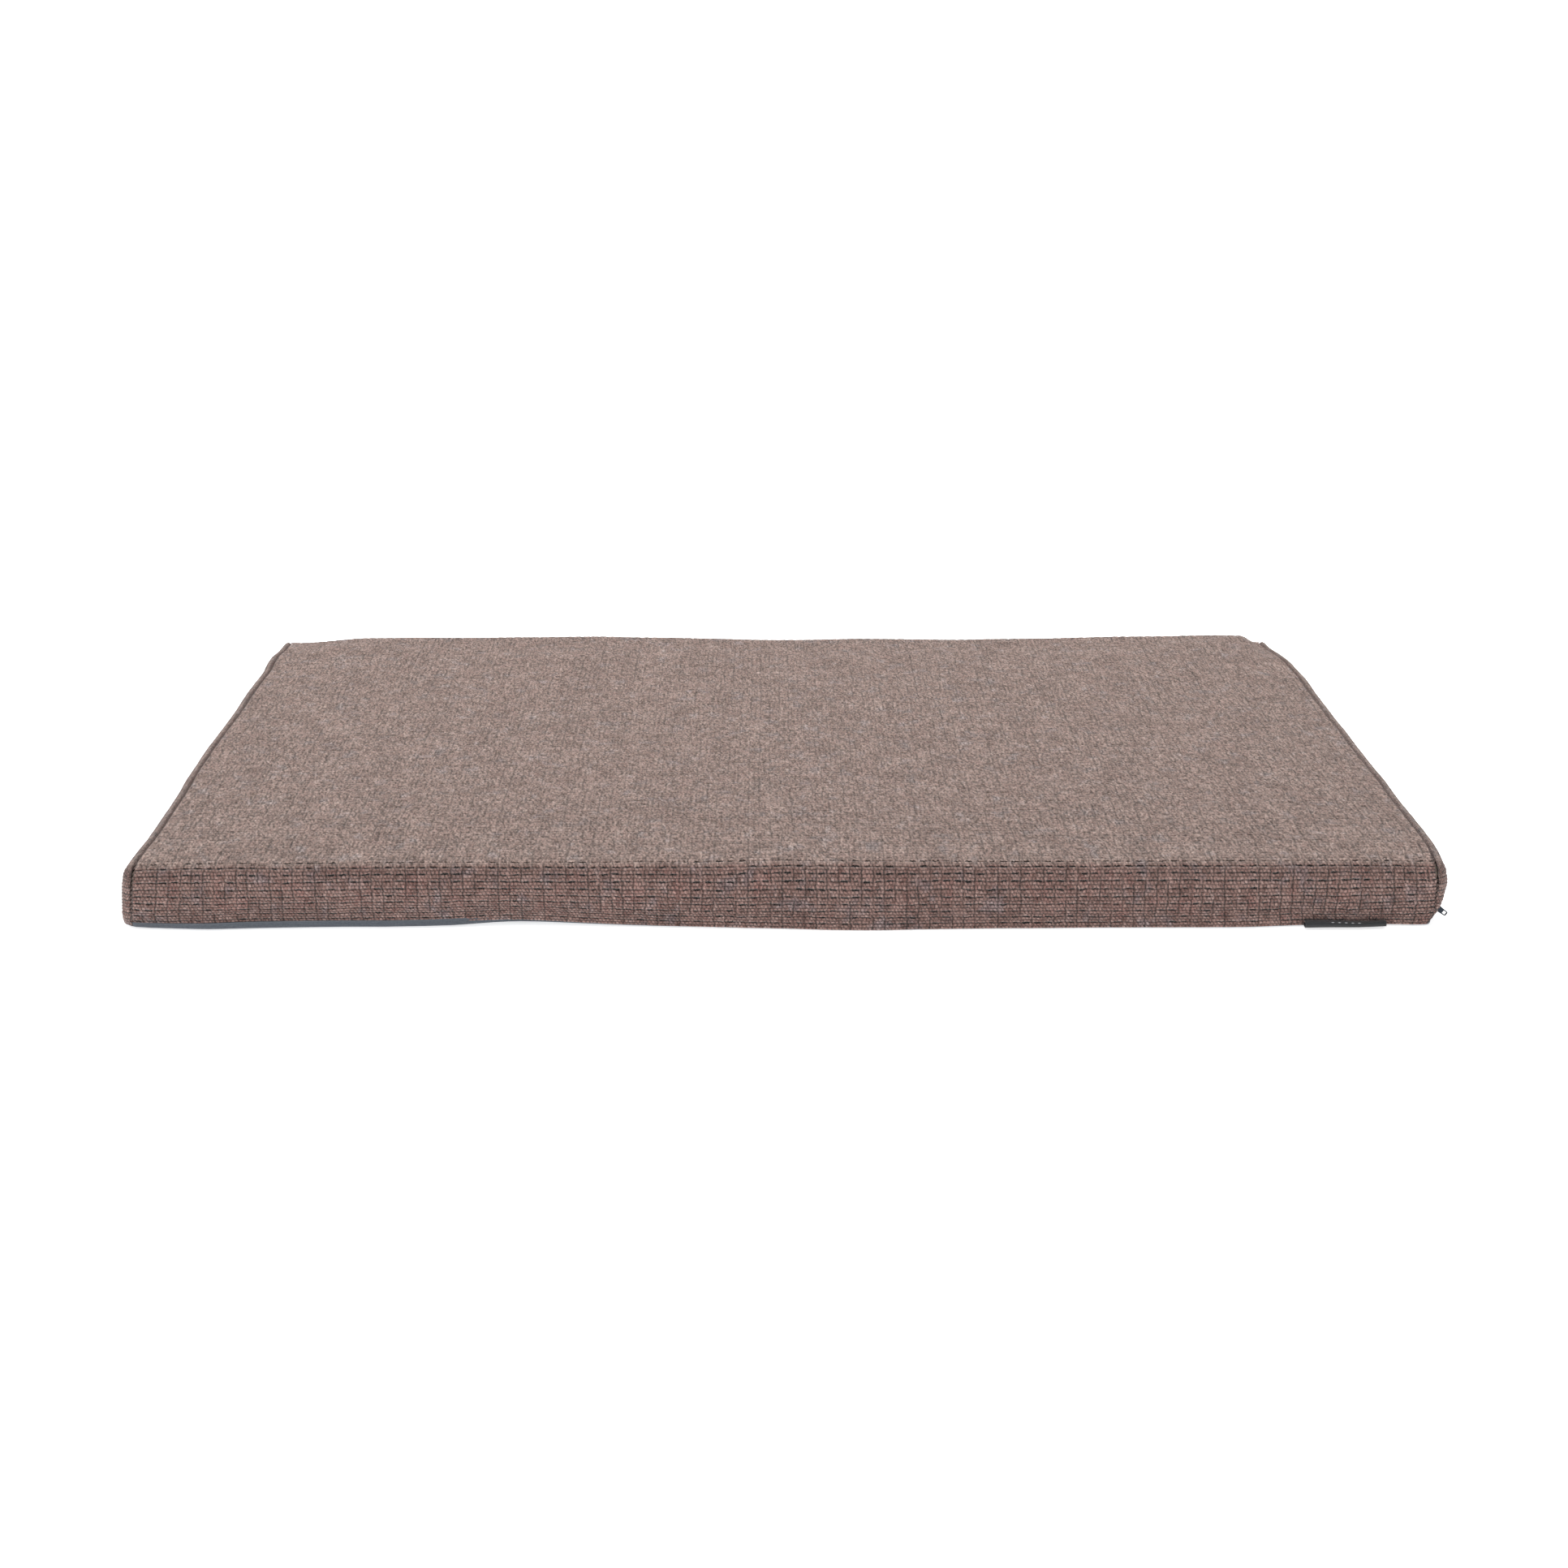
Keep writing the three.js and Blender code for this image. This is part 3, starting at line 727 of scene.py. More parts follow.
# ---------------------------------------------------------------- the base cloth
def build_base():
    """A thin closed sheet on the floor, turned up behind the chenille's lower edge and up the slope to the zip."""
    A = 22.0
    hx, hy = HX - 1.0 - 12.0, HY - 1.0 - 12.0
    edge = np.array([0.25, 0.5, 0.75, 1.0])
    out = A * np.linspace(0.08, 1.0, 16)
    xs = np.concatenate([-(hx + out[::-1]), np.linspace(-hx, hx, 96), hx + out])
    ys = np.concatenate([-(hy + out[::-1]), np.linspace(-hy, hy, 62), hy + out])
    X, Y = np.meshgrid(xs, ys, indexing="ij")
    dx = np.clip(np.abs(X) - hx, 0, A) / A
    dy = np.clip(np.abs(Y) - hy, 0, A) / A
    qx, qy = dx * np.sqrt(1 - dy**2 / 2), dy * np.sqrt(1 - dx**2 / 2)
    q = np.hypot(qx, qy)
    ex = np.sign(X) * qx / np.maximum(q, 1e-9)
    ey = np.sign(Y) * qy / np.maximum(q, 1e-9)
    right = np.clip(ex, 0, 1) ** 2 * (q > 0)
    rho = 2.6
    turn = math.pi / 2 - TILT * right
    lip_u = -6.0 * (1 - smooth(300.0, 304.0, np.abs(Y)))
    x0z0 = slope_x(0.0, 2.3)  # the slope's foot
    reach = 12.0 - rho  # flat run before the turn, left, front and back
    foot = (x0z0 - rho * math.tan((math.pi / 2 - TILT) / 2)) - hx
    flat_run = reach * (1 - right) + foot * right
    height = hem_height(X, Y) + 1.6
    up_len = np.maximum(height - rho, 0.6)
    zl_u = (0.0 - ZZ + 2.3 * ST) / CT
    slope_len = (-6.0 - zl_u) - rho * math.tan((math.pi / 2 - TILT) / 2)
    short = smooth(300.0, 306.0, np.abs(Y))
    slope_len = slope_len * (1 - short) + 1.5 * short
    tail = up_len * (1 - right) + slope_len * right
    total = flat_run + rho * turn + tail
    a = q * total
    th = np.clip((a - flat_run) / rho, 0, turn)
    beyond = np.clip(a - flat_run - rho * turn, 0, None)
    r = np.minimum(a, flat_run) + rho * np.sin(th) + beyond * np.cos(turn)
    z = rho * (1 - np.cos(th)) + beyond * np.sin(turn)
    px = np.clip(X, -hx, hx) + ex * r
    py = np.clip(Y, -hy, hy) + ey * r
    nx, ny, nz = ex * np.sin(th), ey * np.sin(th), -np.cos(th)
    P = np.stack([px, py, z], -1)
    N = np.stack([nx, ny, nz], -1)
    # follows the wandering front edge
    w = smooth(-hy + 20, -HY + 2, py)
    P[..., 1] += (front_in(px) * 0.95) * w
    wav = 0.25 * (fbm(px / 24 + 4, py / 24, 55, 2)) * np.clip(z / 2.0, 0, 1)
    P = P + N * wav[..., None]
    band = smooth(-505.0, -480.0, px) * smooth(-120.0, -220.0, px)
    P[..., 1] -= 2.2 * band * w * smooth(0.2, 1.8, z)
    P[..., 2] += base_lift(px) * w
    P = settle(P)
    thick = 0.8
    inner = P - N * thick
    n0, n1 = P.shape[:2]
    quads = [grid_faces(n0, n1, flip=True), grid_faces(n0, n1, start=n0 * n1)]
    # the rim between the two faces
    ring = np.concatenate(
        [
            np.arange(n1 - 1),
            np.arange(n0 - 1) * n1 + n1 - 1,
            (n0 - 1) * n1 + np.arange(n1 - 1, 0, -1),
            np.arange(n0 - 1, 0, -1) * n1,
        ]
    )
    nxt = np.roll(ring, -1)
    quads.append(np.stack([ring, nxt, nxt + n0 * n1, ring + n0 * n1], -1))
    co = np.concatenate([P.reshape(-1, 3), inner.reshape(-1, 3)])
    ob = make_mesh("base_cloth_sheet", co, np.concatenate(quads))
    ob.data.polygons.foreach_set("use_smooth", [True] * len(ob.data.polygons))
    I, J = np.meshgrid(np.arange(n0) / (n0 - 1), np.arange(n1) / (n1 - 1), indexing="ij")
    uv0 = np.stack([I * 0.49 + 0.002, J * 0.996 + 0.002], -1)
    uv1 = np.stack([I * 0.49 + 0.508, J * 0.996 + 0.002], -1)
    put_uv(ob, np.concatenate([uv0.reshape(-1, 2), uv1.reshape(-1, 2)]))
    flat_xy = np.stack([np.clip(X, -hx, hx) + ex * a, np.clip(Y, -hy, hy) + ey * a, 0 * X], -1)
    put_cloth(ob, np.concatenate([flat_xy.reshape(-1, 3), flat_xy.reshape(-1, 3)]))
    return ob


base = build_base()


# ---------------------------------------------------------------- foam
def build_foam():
    P, F = rounded_box(foam_lo, foam_hi, 7.5, 14.0, 5.0)
    P = P.copy()
    # every cut face of the block is a little uneven
    bump = 0.35 * fbm(P[:, 0] / 60 + 3, P[:, 1] / 60 + P[:, 2] / 20, 58, 3)
    mid = (foam_lo + foam_hi) / 2
    out = (P - mid) / (foam_hi - foam_lo)
    out /= np.linalg.norm(out, axis=1, keepdims=True)
    P -= out * (0.35 + bump[:, None])
    lim = slope_x(P[:, 2], -3.2)
    k = 1.5
    P[:, 0] -= k * np.log1p(np.exp(np.clip((P[:, 0] - lim) / k, -60, 60)))
    P[:, 2] = np.maximum(P[:, 2], foam_lo[2])
    w = (1 - np.clip(P[:, 2], 0, TOP) / TOP) ** 1.5 * smooth(-200, -HY + 10, P[:, 1])
    P[:, 1] += np.maximum(front_in(P[:, 0]), 0) * w
    P[:, 0] *= 0.9945
    P[:, 1] *= 0.9900
    P[:, 2] = foam_lo[2] + (P[:, 2] - foam_lo[2]) * 0.955
    P = settle(P)
    ob = weld(make_mesh("foam_block", P, F))
    ob.data.shade_smooth()
    return ob


foam = build_foam()


# ---------------------------------------------------------------- stitches
def capsule(segments=6, rings=4):
    """A short thread lying along +X from -0.5 to 0.5, radius 1: points and faces to be scaled."""
    xs, rs = [], []
    for k in range(rings):
        a = math.pi / 2 * k / (rings - 1)
        xs.append(-math.cos(a))
        rs.append(math.sin(a))
    ring_x = np.array(xs + [-x for x in xs[::-1]])
    ring_r = np.array(rs + rs[::-1])
    side = np.array([-1] * rings + [1] * rings)
    ang = 2 * math.pi * np.arange(segments) / segments
    return ring_x, ring_r, side, ang


def threads(centres, along, up, length, radius, flat=0.75, segments=6):
    """One capsule for each centre, as one set of points and faces."""
    centres, along, up = (np.asarray(a, float) for a in (centres, along, up))
    along = along / np.linalg.norm(along, axis=1, keepdims=True)
    across = np.cross(up, along)
    across /= np.linalg.norm(across, axis=1, keepdims=True)
    up = np.cross(along, across)
    ring_x, ring_r, side, ang = capsule(segments)
    nr = len(ring_x)
    half = length / 2 - radius
    lx = side * half + np.where(side < 0, ring_x, ring_x) * radius
    pts = []
    for k in range(nr):
        for a in ang:
            rr = max(ring_r[k], 0.02) * radius
            pts.append((lx[k], rr * math.cos(a), rr * math.sin(a) * flat))
    pts = np.array(pts)
    co = (
        centres[:, None, :]
        + along[:, None, :] * pts[None, :, 0:1]
        + across[:, None, :] * pts[None, :, 1:2]
        + up[:, None, :] * pts[None, :, 2:3]
    )
    ns = segments
    f = grid_faces(nr, ns, wrap_j=True, flip=True)
    caps = []
    for base_i, flip in ((0, False), ((nr - 1) * ns, True)):
        for m in range(1, ns - 1, 1):
            tri = [base_i, base_i + m, base_i + m + 1]
            caps.append(tri if flip else tri[::-1])
    caps = np.array(caps)
    off = (np.arange(len(centres)) * len(pts))[:, None, None]
    return co.reshape(-1, 3), (f[None] + off).reshape(-1, 4), (caps[None] + off).reshape(-1, 3)


def along_path(path, pitch, start=0.0):
    """Points every pitch along a polyline, with the way it runs there."""
    seg = np.linalg.norm(np.diff(path, axis=0), axis=1)
    dist = np.concatenate([[0], np.cumsum(seg)])
    at = np.arange(start + pitch / 2, dist[-1], pitch)
    p = np.stack([np.interp(at, dist, path[:, k]) for k in range(3)], -1)
    q = np.stack([np.interp(at + 0.4, dist, path[:, k]) for k in range(3)], -1)
    r = np.stack([np.interp(at - 0.4, dist, path[:, k]) for k in range(3)], -1)
    return p, q - r


def side_seam(name, which):
    s, t, P = wrap_grid
    i = len(s) - 1 - 3 if which > 0 else 3
    row = P[i][3:-3]
    jit = np.random.default_rng(5 + which)
    c, d = along_path(row, 3.9)
    mid = np.array([0.0, 0.0, 20.0])
    up = np.stack([np.full(len(c), which * 0.5), c[:, 1] / HY, (c[:, 2] - 20) / 25], -1)
    up[:, 1] = np.where(np.abs(c[:, 1]) < HY - 12, 0, np.sign(c[:, 1]))
    up[:, 2] = np.where(c[:, 2] > TOP - 12, 1.0, 0.0)
    up /= np.linalg.norm(up, axis=1, keepdims=True)
    c = c + up * 0.35
    c[:, 0] += which * 0.25
    tilt = np.zeros_like(d)
    tilt[:, 0] = 0.25 + 0.1 * jit.standard_normal(len(c))
    d = d / np.linalg.norm(d, axis=1, keepdims=True) + tilt
    co, q, tr = threads(c, d, up, 2.9, 0.36)
    return make_mesh(name, co, q, tr)


seam_thread_left = side_seam("side_seam_stitches_left", -1)
seam_thread_right = side_seam("side_seam_stitches_right", 1)


def base_seam():
    """Small stitches in the angle between the chenille's turned edge and the base cloth."""
    pts = []
    z_of = lambda x, y: float(hem_height(np.array(x), np.array(y))) - 0.55
    hx, hy, r = HX - 1.25, HY - 1.25, 9.0
    for x in np.linspace(478, -hx + r, 240):
        pts.append((x, -hy, 0))
    for a in np.linspace(0, math.pi / 2, 10)[1:]:
        pts.append((-hx + r - r * math.sin(a), -hy + r - r * math.cos(a), 0))
    for y in np.linspace(-hy + r, hy - r, 160)[1:]:
        pts.append((-hx, y, 0))
    for a in np.linspace(0, math.pi / 2, 10)[1:]:
        pts.append((-hx + r - r * math.cos(a), hy - r + r * math.sin(a), 0))
    for x in np.linspace(-hx + r, 478, 240)[1:]:
        pts.append((x, hy, 0))
    path = np.array(pts, float)
    w = smooth(-HY + 30, -HY + 4, path[:, 1])
    path[:, 1] += front_in(path[:, 0]) * 0.93 * w
    wb = smooth(HY - 30, HY - 4, path[:, 1])
    path[:, 1] -= 1.1 * wb
    path[:, 2] = [z_of(p[0], p[1]) for p in path]
    path[:, 2] += base_lift(path[:, 0]) * 0.6 * w
    path = settle(path)
    c, d = along_path(path, 3.6)
    up = np.stack([0 * c[:, 0], np.sign(c[:, 1]), 0 * c[:, 0] - 0.3], -1)
    sidey = np.abs(c[:, 0] + hx) < 1.0
    up[sidey] = (-1, 0, -0.3)
    co, q, tr = threads(c, d, up, 2.8, 0.34)
    return make_mesh("base_seam_stitches", co, q, tr)


base_thread = base_seam()


def zip_row(name, u, v):
    x, z = zip_point(u, v)
    y = np.arange(-302, 302, 3.4)
    c = np.stack([np.full(len(y), x), y, np.full(len(y), z)], -1)
    jit = np.random.default_rng(int(abs(u) * 10) + (3 if u > 0 else 0))
    c += np.outer(0.12 * jit.standard_normal(len(y)), [ST, 0, CT])
    d = np.stack([0.05 * ST * np.ones(len(y)), np.ones(len(y)), 0.05 * CT * np.ones(len(y))], -1)
    up = np.repeat([[CT, 0, -ST]], len(y), 0)
    co, q, tr = threads(c, d, up, 2.7, 0.34)
    return make_mesh(name, co, q, tr)


zip_sew_upper = zip_row("zip_stitches_upper", 7.9, 3.35)
zip_sew_lower = zip_row("zip_stitches_lower", -7.9, 2.75)


# ---------------------------------------------------------------- the zip
def tape(name, side):
    lo, hi = 2.3, 12.3
    y = np.linspace(-303.8, 303.8, 150)
    u = np.linspace(lo, hi, 8)
    t = 0.28
    ring = [(a, t) for a in u] + [(a, -t) for a in u[::-1]]
    ring = np.array(ring)
    Y = np.repeat(y[:, None], len(ring), 1)
    wave = 0.12 * fbm(y / 30 + (9 if side > 0 else 2), 0 * y, 59, 2)
    uu = side * ring[:, 0][None, :] + 0 * Y
    vv = ring[:, 1][None, :] + wave[:, None] * smooth(3, 9, ring[:, 0])[None, :]
    x, z = zip_point(uu, vv)
    P = np.stack([x, Y, z], -1)
    n = P.shape[1]
    q = grid_faces(P.shape[0], n, wrap_j=True, flip=(side > 0))
    ends = []
    for row, fl in ((0, side > 0), (P.shape[0] - 1, side < 0)):
        for k in range(n // 2 - 1):
            f = [row * n + k, row * n + k + 1, row * n + n - 2 - k, row * n + n - 1 - k]
            ends.append(f[::-1] if fl else f)
    ob = make_mesh(name, P, np.concatenate([q, np.array(ends)]))
    put_cloth(ob, np.stack([uu, Y, vv], -1))
    return ob


tape_upper = tape("zip_tape_cloth_upper", 1)
tape_lower = tape("zip_tape_cloth_lower", -1)


def coil(name, side):
    """One half of the coil chain: a row of rounded turns, each slanting over the join, on a core cord."""
    pitch = 1.55
    y = np.arange(-303.2, 300.0, pitch) + (pitch / 2 if side > 0 else 0)
    x0, z0 = zip_point(0, 0)
    u_mid = side * 0.95
    cx, cz = zip_point(u_mid, 0.05)
    c = np.stack([np.full(len(y), cx), y, np.full(len(y), cz)], -1)
    along = np.repeat([[ST, 0.10 * side, CT]], len(y), 0)
    up = np.repeat([[CT, 0, -ST]], len(y), 0)
    a = threads(c, along, up, 2.5, 0.44, flat=1.6, segments=8)
    # the cord that the turns are sewn to
    yy = np.linspace(-303.8, 300.4, 120)
    ang = 2 * math.pi * np.arange(8) / 8
    uu = side * 1.85 + 0.42 * np.cos(ang)[None, :] + 0 * yy[:, None]
    vv = 0.42 * np.sin(ang)[None, :] + 0.3 + 0 * yy[:, None]
    X, Z = zip_point(uu, vv)
    P = np.stack([X, np.repeat(yy[:, None], 8, 1), Z], -1)
    q = grid_faces(len(yy), 8, wrap_j=True)
    n = len(yy) * 8
    caps = np.array([[k, k + 1, 0] for k in range(1, 7)] + [[n - 8, n - 8 + k + 1, n - 8 + k] for k in range(1, 7)])
    return weldless(name, [a, (P.reshape(-1, 3), q, caps)])


def weldless(name, parts):
    co, q, t = join_parts(parts)
    ob = make_mesh(name, co, q, t)
    bm = bmesh.new()
    bm.from_mesh(ob.data)
    bmesh.ops.recalc_face_normals(bm, faces=bm.faces)
    bm.to_mesh(ob.data)
    bm.free()
    return ob


coil_upper = coil("zip_coil_turns_upper", 1)
coil_lower = coil("zip_coil_turns_lower", -1)


# ---------------------------------------------------------------- labels
def build_label():
    """A soft satin loop: its two ends go into the front seam, and its left end stands open."""
    x = np.linspace(label_lo[0], label_hi[0], 63)
    k = (x - x[0]) / (x[-1] - x[0])
    tall = 4.5 - 0.9 * smooth(0.0, 0.8, k) + 0.15 * np.sin(k * 7.0)  # the loop's height
    reach = 7.2 - 0.5 * k + 0.15 * np.sin(k * 9 + 1)
    edge_in = front_in(x) * 0.8
    loops = []
    n = 26
    for i in range(len(x)):
        r = tall[i] / 2
        base_z = 1.7 + 0.3 * k[i]
        cz = base_z + r
        y_face = -HY + edge_in[i]
        cyy = y_face - reach[i] + r
        pts = []
        pts.append((y_face + 2.6, cz + 0.35))
        pts.append((y_face + 0.9, cz + 0.42))
        pts.append((y_face - 0.4, cz + r * 0.52))
        pts.append((y_face - 1.6, cz + r * 0.86))
        for m in range(n - 8):
            a = math.pi / 2 + math.pi * m / (n - 9)
            sq = 1.0 + 0.06 * math.sin(2 * a) * (1 - k[i])
            pts.append((cyy + r * math.cos(a) * sq, cz + r * math.sin(a)))
        pts.append((y_face - 1.4, cz - r * 0.92))
        pts.append((y_face - 0.3, cz - r * 0.66))
        pts.append((y_face + 0.9, cz - 0.42))
        pts.append((y_face + 2.6, cz - 0.35))
        loops.append(pts)
    L = np.array(loops)
    d = np.gradient(L, axis=1)
    nrm = np.stack([d[..., 1], -d[..., 0]], -1)
    nrm /= np.maximum(np.linalg.norm(nrm, axis=-1, keepdims=True), 1e-9)
    t = 0.24
    outer, inner = L - nrm * t, L + nrm * t
    ring = np.concatenate([outer, inner[:, ::-1]], 1)
    X = np.repeat(x[:, None], ring.shape[1], 1)
    P = np.stack([X, ring[..., 0], ring[..., 1]], -1)
    m = ring.shape[1]
    q = grid_faces(len(x), m, wrap_j=True)
    ends = []
    for row, fl in ((0, True), (len(x) - 1, False)):
        for j in range(m // 2 - 1):
            f = [row * m + j, row * m + j + 1, row * m + m - 2 - j, row * m + m - 1 - j]
            ends.append(f[::-1] if fl else f)
    co = P.reshape(-1, 3)
    co[:, 2] = np.maximum(co[:, 2], 0.15)
    ob = weldless("loop_label_ribbon", [(co, np.concatenate([q, np.array(ends)]), None)])
    arc = np.concatenate([np.arange(m // 2), np.arange(m // 2)[::-1]]) / (m // 2 - 1)
    put_cloth(ob, np.stack([X, np.repeat(arc[None, :], len(x), 0) * 24.0, 0 * X], -1))
    return ob, float(np.linalg.norm(np.diff(L[30], axis=0), axis=1).sum())


label, label_len = build_label()


def build_care():
    x = np.linspace(care_lo[0], care_hi[0], 19)
    y = np.linspace(care_lo[1], care_hi[1], 28)
    X, Y = np.meshgrid(x, y, indexing="ij")
    z = 0.5 * (care_lo[2] + care_hi[2]) + 0.12 * np.sin((X - x[0]) / 9) * np.sin((Y - y[0]) / 13)
    top = np.stack([X, Y, z + 0.1], -1)
    bot = np.stack([X, Y, z - 0.1], -1)
    n0, n1 = X.shape
    ring = np.concatenate(
        [
            np.arange(n1 - 1),
            np.arange(n0 - 1) * n1 + n1 - 1,
            (n0 - 1) * n1 + np.arange(n1 - 1, 0, -1),
            np.arange(n0 - 1, 0, -1) * n1,
        ]
    )
    nxt = np.roll(ring, -1)
    quads = [
        grid_faces(n0, n1),
        grid_faces(n0, n1, start=n0 * n1, flip=True),
        np.stack([ring, ring + n0 * n1, nxt + n0 * n1, nxt], -1),
    ]
    co = np.concatenate([top.reshape(-1, 3), bot.reshape(-1, 3)])
    ob = weldless("care_label_tab", [(co, np.concatenate(quads), None)])
    c = np.stack([X - x[0], Y - y[0], 0 * X], -1).reshape(-1, 3)
    put_cloth(ob, np.concatenate([c, c]))
    return ob


care = build_care()


# ---------------------------------------------------------------- materials
def lin(r, g, b):
    """sRGB 0 to 255 as linear."""
    out = []
    for c in (r, g, b):
        c /= 255.0
        out.append(c / 12.92 if c <= 0.04045 else ((c + 0.055) / 1.055) ** 2.4)
    return (*out, 1.0)


class Nodes:
    def __init__(self, name):
        self.mat = bpy.data.materials.new(name)
        self.mat.use_nodes = True
        self.nt = self.mat.node_tree
        self.nt.nodes.clear()
        self.out = self.nt.nodes.new("ShaderNodeOutputMaterial")
        self.bsdf = self.nt.nodes.new("ShaderNodeBsdfPrincipled")
        self.nt.links.new(self.bsdf.outputs[0], self.out.inputs["Surface"])

    def set(self, socket, value):
        if isinstance(value, bpy.types.NodeSocket):
            self.nt.links.new(value, socket)
        elif value is not None:
            socket.default_value = value

    def node(self, kind, ins=(), out=0, **props):
        n = self.nt.nodes.new(kind)
        for k, v in props.items():
            setattr(n, k, v)
        items = ins.items() if isinstance(ins, dict) else enumerate(ins)
        for k, v in items:
            self.set(n.inputs[k], v)
        return n.outputs[out]

    def m(self, op, a, b=None, c=None, clamp=False):
        return self.node("ShaderNodeMath", [a, b, c][: 1 + (b is not None) + (c is not None)], operation=op, use_clamp=clamp)

    def add(self, a, b):
        return self.m("ADD", a, b)

    def sub(self, a, b):
        return self.m("SUBTRACT", a, b)

    def mul(self, a, b):
        return self.m("MULTIPLY", a, b)

    def step(self, lo, hi, x, to_min=0.0, to_max=1.0):
        return self.node(
            "ShaderNodeMapRange",
            {"Value": x, "From Min": lo, "From Max": hi, "To Min": to_min, "To Max": to_max},
            interpolation_type="SMOOTHSTEP",
        )

    def map(self, lo, hi, x, to_min=0.0, to_max=1.0):
        return self.node(
            "ShaderNodeMapRange",
            {"Value": x, "From Min": lo, "From Max": hi, "To Min": to_min, "To Max": to_max},
        )

    def vec(self, x, y, z=0.0):
        return self.node("ShaderNodeCombineXYZ", [x, y, z])

    def noise(self, vector, scale, detail=2.0, rough=0.5, out=0, dims="3D"):
        return self.node(
            "ShaderNodeTexNoise",
            {"Vector": vector, "Scale": scale, "Detail": detail, "Roughness": rough},
            out=out,
            noise_dimensions=dims,
        )

    def white(self, vector, out=0):
        return self.node("ShaderNodeTexWhiteNoise", {"Vector": vector}, out=out, noise_dimensions="3D")

    def ramp(self, fac, stops, interp="LINEAR"):
        n = self.nt.nodes.new("ShaderNodeValToRGB")
        n.color_ramp.interpolation = interp
        el = n.color_ramp.elements
        while len(el) < len(stops):
            el.new(0.5)
        for e, (p, c) in zip(el, stops):
            e.position = p
            e.color = c
        self.set(n.inputs[0], fac)
        return n.outputs[0]

    def mix(self, fac, a, b, blend="MIX"):
        n = self.nt.nodes.new("ShaderNodeMix")
        n.data_type = "RGBA"
        n.blend_type = blend
        n.clamp_factor = True
        self.set(n.inputs[0], fac)
        self.set(n.inputs[6], a)
        self.set(n.inputs[7], b)
        return n.outputs[2]

    def attr(self, name="cloth"):
        n = self.nt.nodes.new("ShaderNodeAttribute")
        n.attribute_name = name
        sep = self.nt.nodes.new("ShaderNodeSeparateXYZ")
        self.nt.links.new(n.outputs["Vector"], sep.inputs[0])
        return n.outputs["Vector"], sep.outputs[0], sep.outputs[1], sep.outputs[2]

    def object_co(self):
        n = self.nt.nodes.new("ShaderNodeTexCoord")
        return n.outputs["Object"]

    def bump(self, height, distance, strength=1.0):
        n = self.nt.nodes.new("ShaderNodeBump")
        n.inputs["Strength"].default_value = strength
        n.inputs["Distance"].default_value = distance
        self.nt.links.new(height, n.inputs["Height"])
        self.nt.links.new(n.outputs[0], self.bsdf.inputs["Normal"])

    def finish(self, color=None, rough=None, metallic=None, sheen=None, sheen_rough=None, sheen_tint=None, spec=None):
        b = self.bsdf.inputs
        self.set(b["Base Color"], color)
        self.set(b["Roughness"], rough)
        self.set(b["Metallic"], metallic)
        self.set(b["Sheen Weight"], sheen)
        self.set(b["Sheen Roughness"], sheen_rough)
        self.set(b["Sheen Tint"], sheen_tint)
        self.set(b["Specular IOR Level"], spec)
        return self.mat


